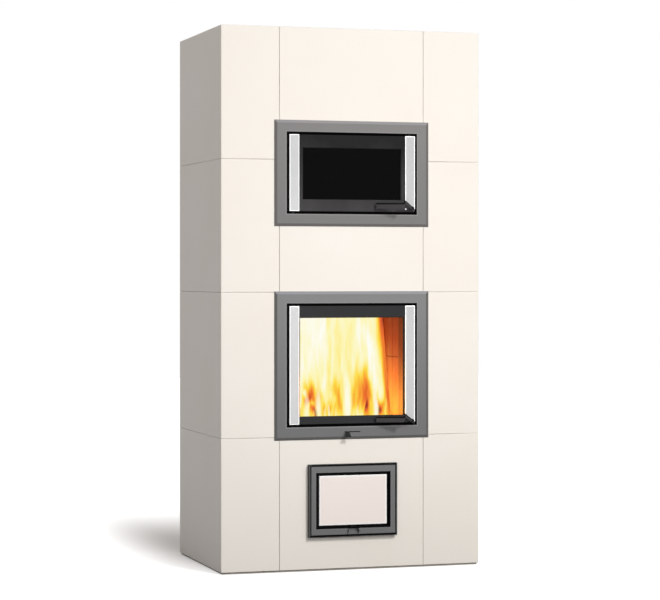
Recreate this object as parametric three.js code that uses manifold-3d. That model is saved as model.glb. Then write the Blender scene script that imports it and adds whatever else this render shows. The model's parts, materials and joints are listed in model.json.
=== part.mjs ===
// Tiled stove: a masonry heater with an oven door, a fire door and an ash door in a shell of large tiles.
// Millimetres, +Z up. The front faces -Y and X runs to the right. The origin is on the underside, at the
// centre of the tiled body's plan.
import * as THREE from 'three';
import { mergeVertices } from 'three/addons/utils/BufferGeometryUtils.js';
import Module from 'manifold-3d';

const wasm = await Module();
wasm.setup();

// ---------------------------------------------------------------- driving dimensions

const BODY = { width: 960, depth: 615, height: 1920 };
const GAP = 0.3; // left between pieces that touch

const TILE = { thickness: 30, chamfer: 1.4, halfJoint: 0.2 };
const COURSE_TOPS = [474, 985, 1452, BODY.height];
const COLUMN_SEAM = 268; // half the width of the front's middle column
const BACK_THICKNESS = 40;

const BASE = { recess: 5, plateHeight: 6, height: 60 };
const TOP_SLAB = { underside: 1860, top: 1916 };
const FLUE = { y: 60, bore: 75, wall: 4, flange: 98, flangeHeight: 4, rise: 20 };

const CORE = { front: 50, back: 50, sideGap: 8, backGap: 10 };
const STEP = { ashHalf: 116, fireHalf: 251.3, ovenHalf: 372, fireFloor: 454.7, smokeChamber: 1040 };
const ASH_FLOOR = 163.2;

const FIREBOX = { halfWidth: 201, floorTop: 500, top: 1000, lining: 50 };
const GRATE = { width: 200, length: 260, height: 14, y: -30, drop: 12, ledge: 14 };
const GRATE_SLOT = { width: 8, length: 104, pitch: 17.3, columnsEachSide: 5 };
const HOPPER = { halfWidth: 150, halfLength: 165 };
const BRICK_JOINT = { width: 3, depth: 3, sideColumns: 7, backColumns: 6, courseTop: 750 };
const THROAT = { inner: 80, outer: 172, halfLength: 110 };
const OVEN = { floor: 1290, roof: 1525, halfWidth: 205, outer: 250, ledge: 25, slab: 45 };
const SMOKE_WINDOW = { front: -120, back: 110, sill: 1066, spring: 1150, rise: 50, cutLength: 90 };

const SURROUND = { halfWidth: 287, bevel: 10, edge: 1, proud: 4.5, opening: 240, wall: 3, mouth: 201, landing: 4 };
const OVEN_DOOR = { bottom: 1217.5, top: 1592, openBottom: 1263.5, openTop: 1548 };
const FIRE_DOOR = { bottom: 463.5, top: 988, openBottom: 511.5, openTop: 943 };
OVEN_DOOR.window = { half: 182, bottom: 1313, top: 1494 };
FIRE_DOOR.window = { half: 192.5, bottom: 547, top: 894 };
OVEN_DOOR.spindleRise = 13.5;
FIRE_DOOR.spindleRise = 6.5;

const LEAF = { halfWidth: 234, gapBelow: 7, gapAbove: 6.5, recess: 1, thickness: 22.5, lip: 5 };
const GLASS = { thickness: 4, cover: 10 };
const SEAL = { halfWidth: 213, width: 9, inset: 8 };
const STRIP = { inner: 197, outer: 233.5, thickness: 5.2, chamfer: 1.4 };
const DOOR_PIVOT = { x: -219, behindFace: 6, pin: 4, bore: 4.4, collar: 7 };

const LEVER = { x: 222, spindle: 3.5, bore: 3.9, boss: 6.5, thickness: 3, bead: 5 };
const LEVER_TONGUE = { half: 4.5, reach: 13.2 };
const LEVER_PATH = {
  freeX: 86, freeProud: 15, apexX: 180, apexProud: 51.8, bossProud: 13.5, tipX: 230, bendRadius: 9,
};
// stations along the lever: x, then its lower and its upper edge above the spindle's axis
const LEVER_STATIONS = [[178, -2.5, 17.5], [184, 6, 18], [222, -7, 5], [230, -11, -1.5]];
// heights of the mitred strip's end above the spindle's axis, at its inner and outer edge
const STRIP_MITRE = { inner: 13.5, outer: -5 };

const AIR = {
  x: -22, z: 489.8, travel: 45, stalk: 9, sheet: 3, reach: 25, tabHeight: 19, tabWidth: 21, tabLean: 4,
  shutterHalf: 60, shutterHalfHeight: 13,
};

const ASH_DOOR = { centre: 248.5, halfWidth: 164, halfHeight: 128.5, proud: 18, rim: 4, gap: 3, back: 3.4 };
const ASH_LEAF = { plate: 9, bandX: 22, bandZ: 24, back: 3.3, mouthHalf: 116, mouthHalfHeight: 85 };
const ASH_TILE = { halfWidth: 126, halfHeight: 88, recess: 4, round: 2.5 };
const ASH_PIVOT = { fromEdge: 8, behindFace: 4, pin: 2.2, bore: 2.6, collar: 3.4 };
const ASH_GRIP = { z: 137, outer: 22, inner: 18.4, reach: 12 };
const ASH_PAN = { halfWidth: 100, front: -190, back: 150, height: 90, sheet: 2, taper: 8, rim: 8 };

// ---------------------------------------------------------------- worked-out planes

const FRONT = -BODY.depth / 2;
const TILE_BACK = FRONT + TILE.thickness;
const REAR = BODY.depth / 2;
const HALF = BODY.width / 2;
const SHELL_HALF = HALF - TILE.thickness;
const BACK_FACE = REAR - BACK_THICKNESS;
const CORE_HALF = SHELL_HALF - CORE.sideGap;
const CORE_FRONT = TILE_BACK + GAP;
const CHAMBER_FRONT = CORE_FRONT + CORE.front;
const CORE_BACK = BACK_FACE - CORE.backGap;
const CHAMBER_BACK = CORE_BACK - CORE.back;
const CORE_TOP = TOP_SLAB.underside - GAP;
const SURROUND_FACE = FRONT - SURROUND.proud;
const LANDING_FACE = TILE_BACK - SURROUND.landing;
const LEAF_FACE = SURROUND_FACE + LEAF.recess;
const LEAF_BACK = LEAF_FACE + LEAF.thickness;
const STRIP_FACE = LEAF_FACE - GAP - STRIP.thickness;

// ---------------------------------------------------------------- finishes

const finish = (color, roughness, metalness = 0) => new THREE.MeshStandardMaterial({ color, roughness, metalness });
const GLAZED_TILE = finish(0xf3ece3, 0.35);
const CONCRETE = finish(0x9d9890, 0.9);
const REFRACTORY = finish(0xb9a58a, 0.95);
const CAST_IRON = finish(0x3a3a3c, 0.7, 0.6);
const SURROUND_PAINT = finish(0x88898b, 0.45, 0.5);
const LEAF_PAINT = finish(0x3c3d40, 0.5, 0.4);
const BRUSHED_STEEL = finish(0xd8d9da, 0.3, 1);
const DARK_GLASS = finish(0x101112, 0.05);
const CLEAR_GLASS = finish(0xf5c470, 0.05);
CLEAR_GLASS.transparent = true;
CLEAR_GLASS.opacity = 0.5;
const SEAL_ROPE = finish(0x18181a, 0.95);
const BLACK_STEEL = finish(0x232426, 0.45, 0.6);
const SHEET_STEEL = finish(0x8b8d8f, 0.4, 0.8);

// ---------------------------------------------------------------- geometry helpers

/** Joins rings of points, all with the same count, into one closed body with flat ends. */
function loft(rings) {
  const count = rings[0].length;
  const positions = rings.flat(2);
  const index = [];
  for (let ring = 0; ring < rings.length - 1; ring += 1) {
    for (let i = 0; i < count; i += 1) {
      const a = ring * count + i;
      const b = ring * count + (i + 1) % count;
      index.push(a, b, b + count, a, b + count, a + count);
    }
  }
  const last = (rings.length - 1) * count;
  for (let i = 1; i < count - 1; i += 1) {
    index.push(0, i + 1, i, last, last + i, last + i + 1);
  }
  const geometry = new THREE.BufferGeometry();
  geometry.setAttribute('position', new THREE.Float32BufferAttribute(positions, 3));
  geometry.setIndex(index);
  return faceOutwards(geometry);
}

/** Turns the faces of a closed indexed body outwards. */
function faceOutwards(geometry) {
  const p = geometry.getAttribute('position');
  const index = geometry.getIndex().array;
  const [a, b, c] = [new THREE.Vector3(), new THREE.Vector3(), new THREE.Vector3()];
  let volume = 0;
  for (let i = 0; i < index.length; i += 3) {
    a.fromBufferAttribute(p, index[i]);
    b.fromBufferAttribute(p, index[i + 1]);
    c.fromBufferAttribute(p, index[i + 2]);
    volume += a.dot(b.cross(c));
  }
  if (volume < 0) {
    geometry.setIndex(Array.from(index).reverse());
  }
  return geometry;
}

/** A rectangle in X and Z at depth y, as a ring for loft. */
function frontRing(x0, x1, z0, z1, y) {
  return [[x0, y, z0], [x1, y, z0], [x1, y, z1], [x0, y, z1]];
}

/** A plain block between two corners. */
function block(x0, x1, y0, y1, z0, z1) {
  const geometry = new THREE.BoxGeometry(x1 - x0, y1 - y0, z1 - z0);
  return geometry.translate((x0 + x1) / 2, (y0 + y1) / 2, (z0 + z1) / 2);
}

/** A shape drawn in X and Z, given a thickness from y0 to y1. */
function plate(shape, y0, y1, curveSegments = 8) {
  const geometry = new THREE.ExtrudeGeometry(shape, { depth: y1 - y0, bevelEnabled: false, curveSegments });
  return geometry.rotateX(Math.PI / 2).translate(0, y1, 0);
}

/** A rectangular outline or hole in X and Z. */
function rectangle(PathClass, x0, x1, z0, z1) {
  const path = new PathClass();
  path.moveTo(x0, z0);
  path.lineTo(x1, z0);
  path.lineTo(x1, z1);
  path.lineTo(x0, z1);
  path.closePath();
  return path;
}

/** A round bar along Z between two heights. */
function uprightBar(x, y, radius, z0, z1, sides = 16) {
  const geometry = new THREE.CylinderGeometry(radius, radius, z1 - z0, sides);
  return geometry.rotateX(Math.PI / 2).translate(x, y, (z0 + z1) / 2);
}

/** A round bar along Y between two depths. */
function cross(x, z, radius, y0, y1, sides = 16) {
  const geometry = new THREE.CylinderGeometry(radius, radius, y1 - y0, sides);
  return geometry.translate(x, (y0 + y1) / 2, z);
}

/** The solid of a closed geometry, ready to be joined or cut. */
function solid(geometry) {
  const bare = geometry.clone();
  bare.deleteAttribute('normal');
  bare.deleteAttribute('uv');
  const merged = mergeVertices(bare, 1e-4);
  const vertProperties = Float32Array.from(merged.getAttribute('position').array);
  const triVerts = Uint32Array.from(merged.getIndex().array);
  return new wasm.Manifold(new wasm.Mesh({ numProp: 3, vertProperties, triVerts }));
}

/** The geometry of a joined or cut solid. */
function surface(body) {
  const { vertProperties, triVerts } = body.getMesh();
  const geometry = new THREE.BufferGeometry();
  geometry.setAttribute('position', new THREE.BufferAttribute(Float32Array.from(vertProperties), 3));
  geometry.setIndex(new THREE.BufferAttribute(Uint32Array.from(triVerts), 1));
  return geometry;
}

/** One body joined from some geometries, with others cut away. */
function carve(joined, removed = []) {
  let body = joined.map(solid).reduce((a, b) => a.add(b));
  for (const geometry of removed) {
    body = body.subtract(solid(geometry));
  }
  return surface(body);
}

const stove = new THREE.Group();

/** Adds one named piece to the stove. */
function add(name, geometry, material) {
  const mesh = new THREE.Mesh(geometry, material);
  mesh.name = name;
  stove.add(mesh);
  return mesh;
}

// ---------------------------------------------------------------- tile shell

/**
 * A tile that stands from z0 to z1 and from u0 to u1, its face at depth 0 and its back at the tile thickness.
 * A joint edge has a small chamfer. A mitred edge has the same chamfer and then runs back at 45 degrees.
 */
function tile(u0, u1, z0, z1, mitreLow = false, mitreHigh = false) {
  const c = TILE.chamfer;
  const depths = [0, c / 2, c, TILE.thickness];
  const jointInset = depths.map((depth) => TILE.halfJoint + Math.max(c - depth, 0));
  const mitreInset = depths.map((depth) => GAP / 2 + Math.max(c - depth, depth));
  const low = mitreLow ? mitreInset : jointInset;
  const high = mitreHigh ? mitreInset : jointInset;
  const rings = depths.map((depth, i) => frontRing(u0 + low[i], u1 - high[i], z0 + jointInset[i],
    z1 - jointInset[i], depth));
  return loft(rings);
}

function buildTileShell() {
  const bottoms = [BASE.plateHeight, ...COURSE_TOPS.slice(0, -1)];
  const ovenNotch = block(-SURROUND.opening - 7, SURROUND.opening + 7, -1, TILE.thickness + 1,
    OVEN_DOOR.openBottom - 7, OVEN_DOOR.openTop + 7);
  const ashWindow = block(-ASH_LEAF.mouthHalf - 4, ASH_LEAF.mouthHalf + 4, -1, TILE.thickness + 1,
    ASH_DOOR.centre - ASH_LEAF.mouthHalfHeight - 4, ASH_DOOR.centre + ASH_LEAF.mouthHalfHeight + 4);
  COURSE_TOPS.forEach((top, i) => {
    const bottom = bottoms[i];
    const course = i + 1;
    const left = add(`front_tile_left_${course}`, tile(-HALF, -COLUMN_SEAM, bottom, top, true), GLAZED_TILE);
    const right = add(`front_tile_right_${course}`, tile(COLUMN_SEAM, HALF, bottom, top, false, true),
      GLAZED_TILE);
    left.position.y = FRONT;
    right.position.y = FRONT;
    if (course !== 2) {
      const cut = course === 1 ? ashWindow : ovenNotch;
      const middle = carve([tile(-COLUMN_SEAM, COLUMN_SEAM, bottom, top)], [cut]);
      add(`front_tile_centre_${course}`, middle, GLAZED_TILE).position.y = FRONT;
    }
    const leftSide = add(`side_tile_left_${course}`, tile(-REAR, REAR, bottom, top, false, true), GLAZED_TILE);
    leftSide.position.x = -HALF;
    leftSide.rotation.z = -Math.PI / 2;
    const rightSide = add(`side_tile_right_${course}`, tile(-REAR, REAR, bottom, top, true), GLAZED_TILE);
    rightSide.position.x = HALF;
    rightSide.rotation.z = Math.PI / 2;
  });
}

function buildBaseAndTop() {
  const plateX = HALF - BASE.recess;
  const plateY = REAR - BASE.recess;
  const inner = SHELL_HALF - GAP;
  const plinth = block(-inner, inner, CORE_FRONT, BACK_FACE - GAP, 0, BASE.height);
  const footPlate = block(-plateX, plateX, -plateY, plateY, 0, BASE.plateHeight);
  add('base_slab', carve([footPlate, plinth]), CONCRETE);
  const back = block(-inner, inner, BACK_FACE, REAR, BASE.plateHeight + GAP, BODY.height);
  add('back_panel', back, CONCRETE);
  const slab = block(-inner, inner, CORE_FRONT, BACK_FACE - GAP, TOP_SLAB.underside, TOP_SLAB.top);
  const flueHole = uprightBar(0, FLUE.y, FLUE.bore + FLUE.wall + 1, TOP_SLAB.underside - 1, TOP_SLAB.top + 1, 32);
  add('top_slab', carve([slab], [flueHole]), CONCRETE);
  const flangeFoot = TOP_SLAB.top + GAP;
  const collarTop = BODY.height + FLUE.rise;
  const collarFoot = TOP_SLAB.underside + 8;
  const outside = FLUE.bore + FLUE.wall;
  const profile = [
    new THREE.Vector2(FLUE.bore, collarFoot),
    new THREE.Vector2(outside, collarFoot),
    new THREE.Vector2(outside, flangeFoot),
    new THREE.Vector2(FLUE.flange, flangeFoot),
    new THREE.Vector2(FLUE.flange, flangeFoot + FLUE.flangeHeight),
    new THREE.Vector2(outside, flangeFoot + FLUE.flangeHeight),
    new THREE.Vector2(outside, collarTop),
    new THREE.Vector2(FLUE.bore, collarTop),
    new THREE.Vector2(FLUE.bore, collarFoot),
  ];
  const collar = new THREE.LatheGeometry(profile, 32).rotateX(Math.PI / 2).translate(0, FLUE.y, 0);
  add('flue_collar', surface(solid(collar)), CAST_IRON);
}

// ---------------------------------------------------------------- masonry core

function mouthHeights(door) {
  const margin = SEAL.inset + SEAL.width + 3;
  return [door.openBottom + LEAF.gapBelow + margin, door.openTop - LEAF.gapAbove - margin];
}

function buildCore() {
  const wall = rectangle(THREE.Shape, -CORE_HALF, CORE_HALF, BASE.height + GAP, CORE_TOP);
  const ashLow = ASH_DOOR.centre - ASH_LEAF.mouthHalfHeight;
  const ashHigh = ASH_DOOR.centre + ASH_LEAF.mouthHalfHeight;
  wall.holes.push(rectangle(THREE.Path, -ASH_LEAF.mouthHalf, ASH_LEAF.mouthHalf, ashLow, ashHigh));
  for (const door of [FIRE_DOOR, OVEN_DOOR]) {
    wall.holes.push(rectangle(THREE.Path, -SURROUND.mouth, SURROUND.mouth, ...mouthHeights(door)));
  }
  add('core_front_wall', plate(wall, CORE_FRONT, CHAMBER_FRONT), REFRACTORY);
  const backWall = block(-CORE_HALF, CORE_HALF, CHAMBER_BACK, CORE_BACK, BASE.height + GAP, CORE_TOP);
  add('core_back_wall', backWall, REFRACTORY);
  for (const [name, side] of [['core_left_wall', -1], ['core_right_wall', 1]]) {
    const steps = [
      [CORE_HALF, BASE.height + GAP], [STEP.ashHalf, BASE.height + GAP], [STEP.ashHalf, STEP.fireFloor],
      [STEP.fireHalf, STEP.fireFloor], [STEP.fireHalf, STEP.smokeChamber], [STEP.ovenHalf, STEP.smokeChamber],
      [STEP.ovenHalf, CORE_TOP], [CORE_HALF, CORE_TOP],
    ];
    const outline = new THREE.Shape(steps.map(([x, z]) => new THREE.Vector2(side * x, z)));
    add(name, plate(outline, CHAMBER_FRONT + GAP, CHAMBER_BACK - GAP), REFRACTORY);
  }
}

// ---------------------------------------------------------------- firebox and ash chamber

function buildFirebox() {
  const front = CHAMBER_FRONT + GAP;
  const back = CHAMBER_BACK - GAP;
  const outer = STEP.fireHalf - GAP;
  const floorFoot = STEP.fireFloor + GAP;
  const top = FIREBOX.floorTop;
  const seatX = GRATE.width / 2 + GAP;
  const seatY = GRATE.length / 2 + GAP;
  const seatTop = top - GRATE.drop;
  const seatFoot = seatTop - GRATE.height;
  const grateSeat = block(-seatX, seatX, GRATE.y - seatY, GRATE.y + seatY, seatFoot, top + 1);
  const fallX = seatX - GRATE.ledge;
  const fallY = seatY - GRATE.ledge;
  const ashFall = block(-fallX, fallX, GRATE.y - fallY, GRATE.y + fallY, floorFoot - 1, top);
  const ring = (x, y, z) => [[-x, GRATE.y - y, z], [x, GRATE.y - y, z], [x, GRATE.y + y, z], [-x, GRATE.y + y, z]];
  const hopper = loft([
    ring(seatX, seatY, seatTop),
    ring(HOPPER.halfWidth, HOPPER.halfLength, top),
    ring(HOPPER.halfWidth, HOPPER.halfLength, top + 1),
  ]);
  add('firebox_floor', carve([block(-outer, outer, front, back, floorFoot, top)], [grateSeat, ashFall, hopper]),
    REFRACTORY);
  buildGrate(seatFoot + GAP);
  buildLinings(front, back, outer, top + GAP);
  const throats = [-1, 1].map((side) => {
    const [x0, x1] = [side * THROAT.inner, side * THROAT.outer].sort((a, b) => a - b);
    return block(x0, x1, -THROAT.halfLength, THROAT.halfLength, FIREBOX.top - 1, STEP.smokeChamber + 1);
  });
  const throatSlab = block(-outer, outer, front, back, FIREBOX.top + GAP, STEP.smokeChamber);
  add('smoke_throat_slab', carve([throatSlab], throats), REFRACTORY);
}

/** The two side linings and the back lining, with the joints of their upright bricks as shallow grooves. */
function buildLinings(front, back, outer, foot) {
  const inner = FIREBOX.halfWidth;
  const { width, depth, sideColumns, backColumns, courseTop } = BRICK_JOINT;
  const half = width / 2;
  const [low, high] = [foot - 1, FIREBOX.top + 1];
  for (const [name, side] of [['firebox_lining_left', -1], ['firebox_lining_right', 1]]) {
    const [x0, x1] = [side * inner, side * outer].sort((a, b) => a - b);
    const [cut0, cut1] = [side * (inner - 1), side * (inner + depth)].sort((a, b) => a - b);
    const joints = [block(cut0, cut1, front - 1, back + 1, courseTop - half, courseTop + half)];
    for (let column = 1; column < sideColumns; column += 1) {
      const y = THREE.MathUtils.lerp(front, back, column / sideColumns);
      joints.push(block(cut0, cut1, y - half, y + half, low, high));
    }
    add(name, carve([block(x0, x1, front, back, foot, FIREBOX.top)], joints), REFRACTORY);
  }
  const face = back - FIREBOX.lining;
  const backJoints = [block(-inner, inner, face - 1, face + depth, courseTop - half, courseTop + half)];
  for (let column = 1; column < backColumns; column += 1) {
    const x = THREE.MathUtils.lerp(-inner, inner, column / backColumns);
    backJoints.push(block(x - half, x + half, face - 1, face + depth, low, high));
  }
  const backLining = block(-inner + GAP, inner - GAP, face, back, foot, FIREBOX.top);
  add('firebox_lining_back', carve([backLining], backJoints), REFRACTORY);
}

function buildGrate(foot) {
  const plan = rectangle(THREE.Shape, -GRATE.width / 2, GRATE.width / 2, -GRATE.length / 2, GRATE.length / 2);
  const { width, length, pitch, columnsEachSide } = GRATE_SLOT;
  for (let column = -columnsEachSide; column <= columnsEachSide; column += 1) {
    const x = column * pitch;
    for (const middle of [-GRATE.length / 4, GRATE.length / 4]) {
      const half = width / 2;
      const end = length / 2;
      const slot = new THREE.Path();
      slot.moveTo(x - half, middle - end + half);
      slot.lineTo(x, middle - end);
      slot.lineTo(x + half, middle - end + half);
      slot.lineTo(x + half, middle + end - half);
      slot.lineTo(x, middle + end);
      slot.lineTo(x - half, middle + end - half);
      slot.closePath();
      plan.holes.push(slot);
    }
  }
  const geometry = new THREE.ExtrudeGeometry(plan, { depth: GRATE.height, bevelEnabled: false });
  add('fire_grate', geometry, CAST_IRON).position.set(0, GRATE.y, foot);
}

function buildAshChamber() {
  const inner = STEP.ashHalf - GAP;
  const floorBlock = block(-inner, inner, CHAMBER_FRONT + GAP, CHAMBER_BACK - GAP, BASE.height + GAP, ASH_FLOOR);
  add('ash_chamber_floor', floorBlock, REFRACTORY);
  const { halfWidth, front, back, height, sheet, taper, rim } = ASH_PAN;
  const foot = ASH_FLOOR + GAP;
  const ring = (inset, z) => [[-halfWidth + inset, front + inset, z], [halfWidth - inset, front + inset, z],
    [halfWidth - inset, back - inset, z], [-halfWidth + inset, back - inset, z]];
  const tray = loft([ring(rim + taper, foot), ring(rim, foot + height)]);
  const rolledRim = loft([ring(0, foot + height - 5), ring(0, foot + height)]);
  const hollow = loft([ring(rim + taper + sheet, foot + sheet), ring(rim + sheet, foot + height + 1)]);
  const gripPlate = loft([
    frontRing(-45, 45, foot + height - 5, foot + height, front + 1),
    frontRing(-38, 38, foot + height - 5, foot + height - 1, front - 22),
  ]);
  add('ash_pan', carve([tray, rolledRim, gripPlate], [hollow]), SHEET_STEEL);
}

// ---------------------------------------------------------------- oven

function buildOven() {
  const front = CHAMBER_FRONT + GAP;
  const back = CHAMBER_BACK - GAP;
  const ledgeTop = OVEN.floor - OVEN.slab - GAP;
  const foot = STEP.smokeChamber + GAP;
  for (const [name, side] of [['oven_side_left', -1], ['oven_side_right', 1]]) {
    const inner = OVEN.halfWidth;
    const steps = [
      [OVEN.outer, foot], [inner - OVEN.ledge, foot], [inner - OVEN.ledge, ledgeTop], [inner, ledgeTop],
      [inner, OVEN.roof], [OVEN.outer, OVEN.roof],
    ];
    const outline = new THREE.Shape(steps.map(([x, z]) => new THREE.Vector2(side * x, z)));
    add(name, carve([plate(outline, front, back)], [smokeWindow(side)]), REFRACTORY);
  }
  const floorHalf = OVEN.halfWidth - GAP;
  add('oven_floor', block(-floorHalf, floorHalf, front, back, OVEN.floor - OVEN.slab, OVEN.floor), REFRACTORY);
  add('oven_roof', block(-OVEN.outer, OVEN.outer, front, back, OVEN.roof + GAP, OVEN.roof + OVEN.slab), REFRACTORY);
}

/** The arched window in an oven side that lets the smoke into the passage beside the oven. */
function smokeWindow(side) {
  const { front, back, sill, spring, rise, cutLength } = SMOKE_WINDOW;
  const arch = new THREE.Shape();
  arch.moveTo(front, sill);
  arch.lineTo(back, sill);
  arch.lineTo(back, spring);
  arch.quadraticCurveTo((front + back) / 2, spring + 2 * rise, front, spring);
  arch.closePath();
  const geometry = new THREE.ExtrudeGeometry(arch, { depth: cutLength, bevelEnabled: false, curveSegments: 6 });
  geometry.rotateX(Math.PI / 2).rotateZ(Math.PI / 2);
  const middle = (OVEN.outer + OVEN.halfWidth - OVEN.ledge) / 2;
  return geometry.translate(side * middle - cutLength / 2, 0, 0);
}

// ---------------------------------------------------------------- oven door and fire door

/** The height of the axis on which a door's latch lever turns. */
function spindleHeight(door) {
  return door.openBottom + LEAF.gapBelow + door.spindleRise;
}

/** The steel surround: bevelled flange on the tiles, sleeve through them and landing for the seal. */
function doorSurround(door, slots) {
  const { halfWidth, bevel, edge, opening, wall, mouth } = SURROUND;
  const { bottom, top, openBottom, openTop } = door;
  const flange = loft([
    frontRing(-halfWidth, halfWidth, bottom, top, FRONT - GAP),
    frontRing(-halfWidth, halfWidth, bottom, top, FRONT - GAP - edge),
    frontRing(-halfWidth + bevel, halfWidth - bevel, bottom + bevel, top - bevel, SURROUND_FACE),
  ]);
  const sleeveX = opening + wall;
  const sleeve = block(-sleeveX, sleeveX, FRONT - 2, TILE_BACK, openBottom - wall, openTop + wall);
  const pocket = block(-opening, opening, SURROUND_FACE - 1, LANDING_FACE, openBottom, openTop);
  const [mouthBottom, mouthTop] = mouthHeights(door);
  const throughMouth = block(-mouth, mouth, FRONT, TILE_BACK + 1, mouthBottom, mouthTop);
  const pinHole = uprightBar(DOOR_PIVOT.x, LEAF_FACE + DOOR_PIVOT.behindFace, DOOR_PIVOT.pin + GAP, openBottom - 20,
    openTop + 20);
  const frame = carve([flange, sleeve], [pocket, throughMouth, pinHole, ...slots]);
  const latchZ = spindleHeight(door);
  const keeper = block(opening - 3, opening + 1, LEAF_BACK - 9, LEAF_BACK - 1, latchZ - 9, latchZ + 9);
  return carve([frame, keeper]);
}

/** The hinged leaf: a frame with a rebate behind for the glass and bores for the pin and the spindle. */
function doorLeaf(door) {
  const z0 = door.openBottom + LEAF.gapBelow;
  const z1 = door.openTop - LEAF.gapAbove;
  const { half, bottom, top } = door.window;
  const round = 1.2;
  const body = loft([
    frontRing(-LEAF.halfWidth + round, LEAF.halfWidth - round, z0 + round, z1 - round, LEAF_FACE),
    frontRing(-LEAF.halfWidth, LEAF.halfWidth, z0, z1, LEAF_FACE + round),
    frontRing(-LEAF.halfWidth, LEAF.halfWidth, z0, z1, LEAF_BACK),
  ]);
  const slope = 3;
  const view = loft([
    frontRing(-half - slope, half + slope, bottom - slope, top + slope, LEAF_FACE - 0.01),
    frontRing(-half, half, bottom, top, LEAF_FACE + slope),
    frontRing(-half, half, bottom, top, LEAF_BACK + 1),
  ]);
  const cover = GLASS.cover;
  const rebate = block(-half - cover, half + cover, LEAF_FACE + LEAF.lip, LEAF_BACK + 1, bottom - cover, top + cover);
  const pinBore = uprightBar(DOOR_PIVOT.x, LEAF_FACE + DOOR_PIVOT.behindFace, DOOR_PIVOT.bore, z0 - 1, z1 + 1);
  const spindleBore = cross(LEVER.x, spindleHeight(door), LEVER.bore, LEAF_FACE - 1, LEAF_BACK + 1);
  return carve([body], [view, rebate, pinBore, spindleBore]);
}

function doorGlass(door) {
  const { half, bottom, top } = door.window;
  const cover = GLASS.cover - GAP;
  const face = LEAF_FACE + LEAF.lip + GAP;
  return block(-half - cover, half + cover, face, face + GLASS.thickness, bottom - cover, top + cover);
}

/** The seal rope behind the leaf, a ring that presses on the surround's landing. */
function doorSeal(door) {
  const z0 = door.openBottom + LEAF.gapBelow + SEAL.inset;
  const z1 = door.openTop - LEAF.gapAbove - SEAL.inset;
  const { halfWidth, width } = SEAL;
  const ring = rectangle(THREE.Shape, -halfWidth, halfWidth, z0, z1);
  ring.holes.push(rectangle(THREE.Path, -halfWidth + width, halfWidth - width, z0 + width, z1 - width));
  return plate(ring, LEAF_BACK + GAP, LANDING_FACE - GAP);
}

/** A brushed strip down one side of the leaf's face. The right one ends in a mitre, notched for the spindle. */
function doorStrip(door, side) {
  const z0 = door.openBottom + LEAF.gapBelow;
  const z1 = door.openTop - LEAF.gapAbove;
  const c = STRIP.chamfer;
  const [x0, x1] = [side * STRIP.inner, side * STRIP.outer].sort((a, b) => a - b);
  const strip = loft([
    frontRing(x0 + c, x1 - c, z0 + c, z1 - c, STRIP_FACE),
    frontRing(x0, x1, z0, z1, STRIP_FACE + c),
    frontRing(x0, x1, z0, z1, LEAF_FACE - GAP),
  ]);
  if (side < 0) {
    return strip;
  }
  const axisZ = spindleHeight(door);
  const below = new THREE.Shape([
    new THREE.Vector2(x0 - 1, z0 - 1),
    new THREE.Vector2(x1 + 1, z0 - 1),
    new THREE.Vector2(x1 + 1, axisZ + STRIP_MITRE.outer),
    new THREE.Vector2(x0 - 1, axisZ + STRIP_MITRE.inner),
  ]);
  const bore = cross(LEVER.x, axisZ, LEVER.bore, STRIP_FACE - 1, LEAF_FACE);
  return carve([strip], [plate(below, STRIP_FACE - 1, LEAF_FACE), bore]);
}

/** The hinge pin, standing in the sleeve, with a collar that carries the leaf. */
function hingePin(x, y, radius, collar, z0, z1, openBottom, gapBelow) {
  const shaft = uprightBar(x, y, radius, z0, z1);
  const ring = uprightBar(x, y, collar, openBottom + GAP, openBottom + gapBelow - GAP);
  return carve([shaft, ring]);
}

/**
 * The latch lever: a sheet blade folded to a V in plan, with its point towards the user and a rolled bead along
 * its upper edge. Past the fold it is cut to a narrow arm that slopes down across the strip's mitred end to a boss
 * on the spindle, and ends over the leaf's corner. A tongue on the spindle's inner end turns behind the keeper.
 */
function latchLever(door) {
  const axisZ = spindleHeight(door);
  const free = new THREE.Vector2(LEVER_PATH.freeX, FRONT - LEVER_PATH.freeProud);
  const apex = new THREE.Vector2(LEVER_PATH.apexX, FRONT - LEVER_PATH.apexProud);
  const boss = new THREE.Vector2(LEVER.x, FRONT - LEVER_PATH.bossProud);
  const tip = new THREE.Vector2(LEVER_PATH.tipX, boss.y);
  const back = free.clone().sub(apex).normalize().multiplyScalar(LEVER_PATH.bendRadius);
  const onward = boss.clone().sub(apex).normalize().multiplyScalar(LEVER_PATH.bendRadius);
  const bend = new THREE.QuadraticBezierCurve(apex.clone().add(back), apex, apex.clone().add(onward));
  const line = [free, ...bend.getPoints(5), boss, tip];
  const rings = line.map((point, i) => {
    const before = line[Math.max(i - 1, 0)];
    const after = line[Math.min(i + 1, line.length - 1)];
    const along = after.clone().sub(before).normalize();
    const out = new THREE.Vector2(along.y, -along.x);
    return leverSection(point.x).map(([side, height]) => [point.x + side * out.x, point.y + side * out.y,
      axisZ + height]);
  });
  const head = cross(LEVER.x, axisZ, LEVER.boss, boss.y - 3, STRIP_FACE - GAP, 20);
  const tongueFront = LEAF_BACK + GAP;
  const tongueBack = LANDING_FACE - GAP - 1;
  const spindle = cross(LEVER.x, axisZ, LEVER.spindle, boss.y, tongueBack, 12);
  const { half, reach } = LEVER_TONGUE;
  const tongue = block(LEVER.x - half, LEVER.x + reach, tongueFront, tongueBack, axisZ - half, axisZ + half);
  return carve([loft(rings), head, spindle, tongue]);
}

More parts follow.
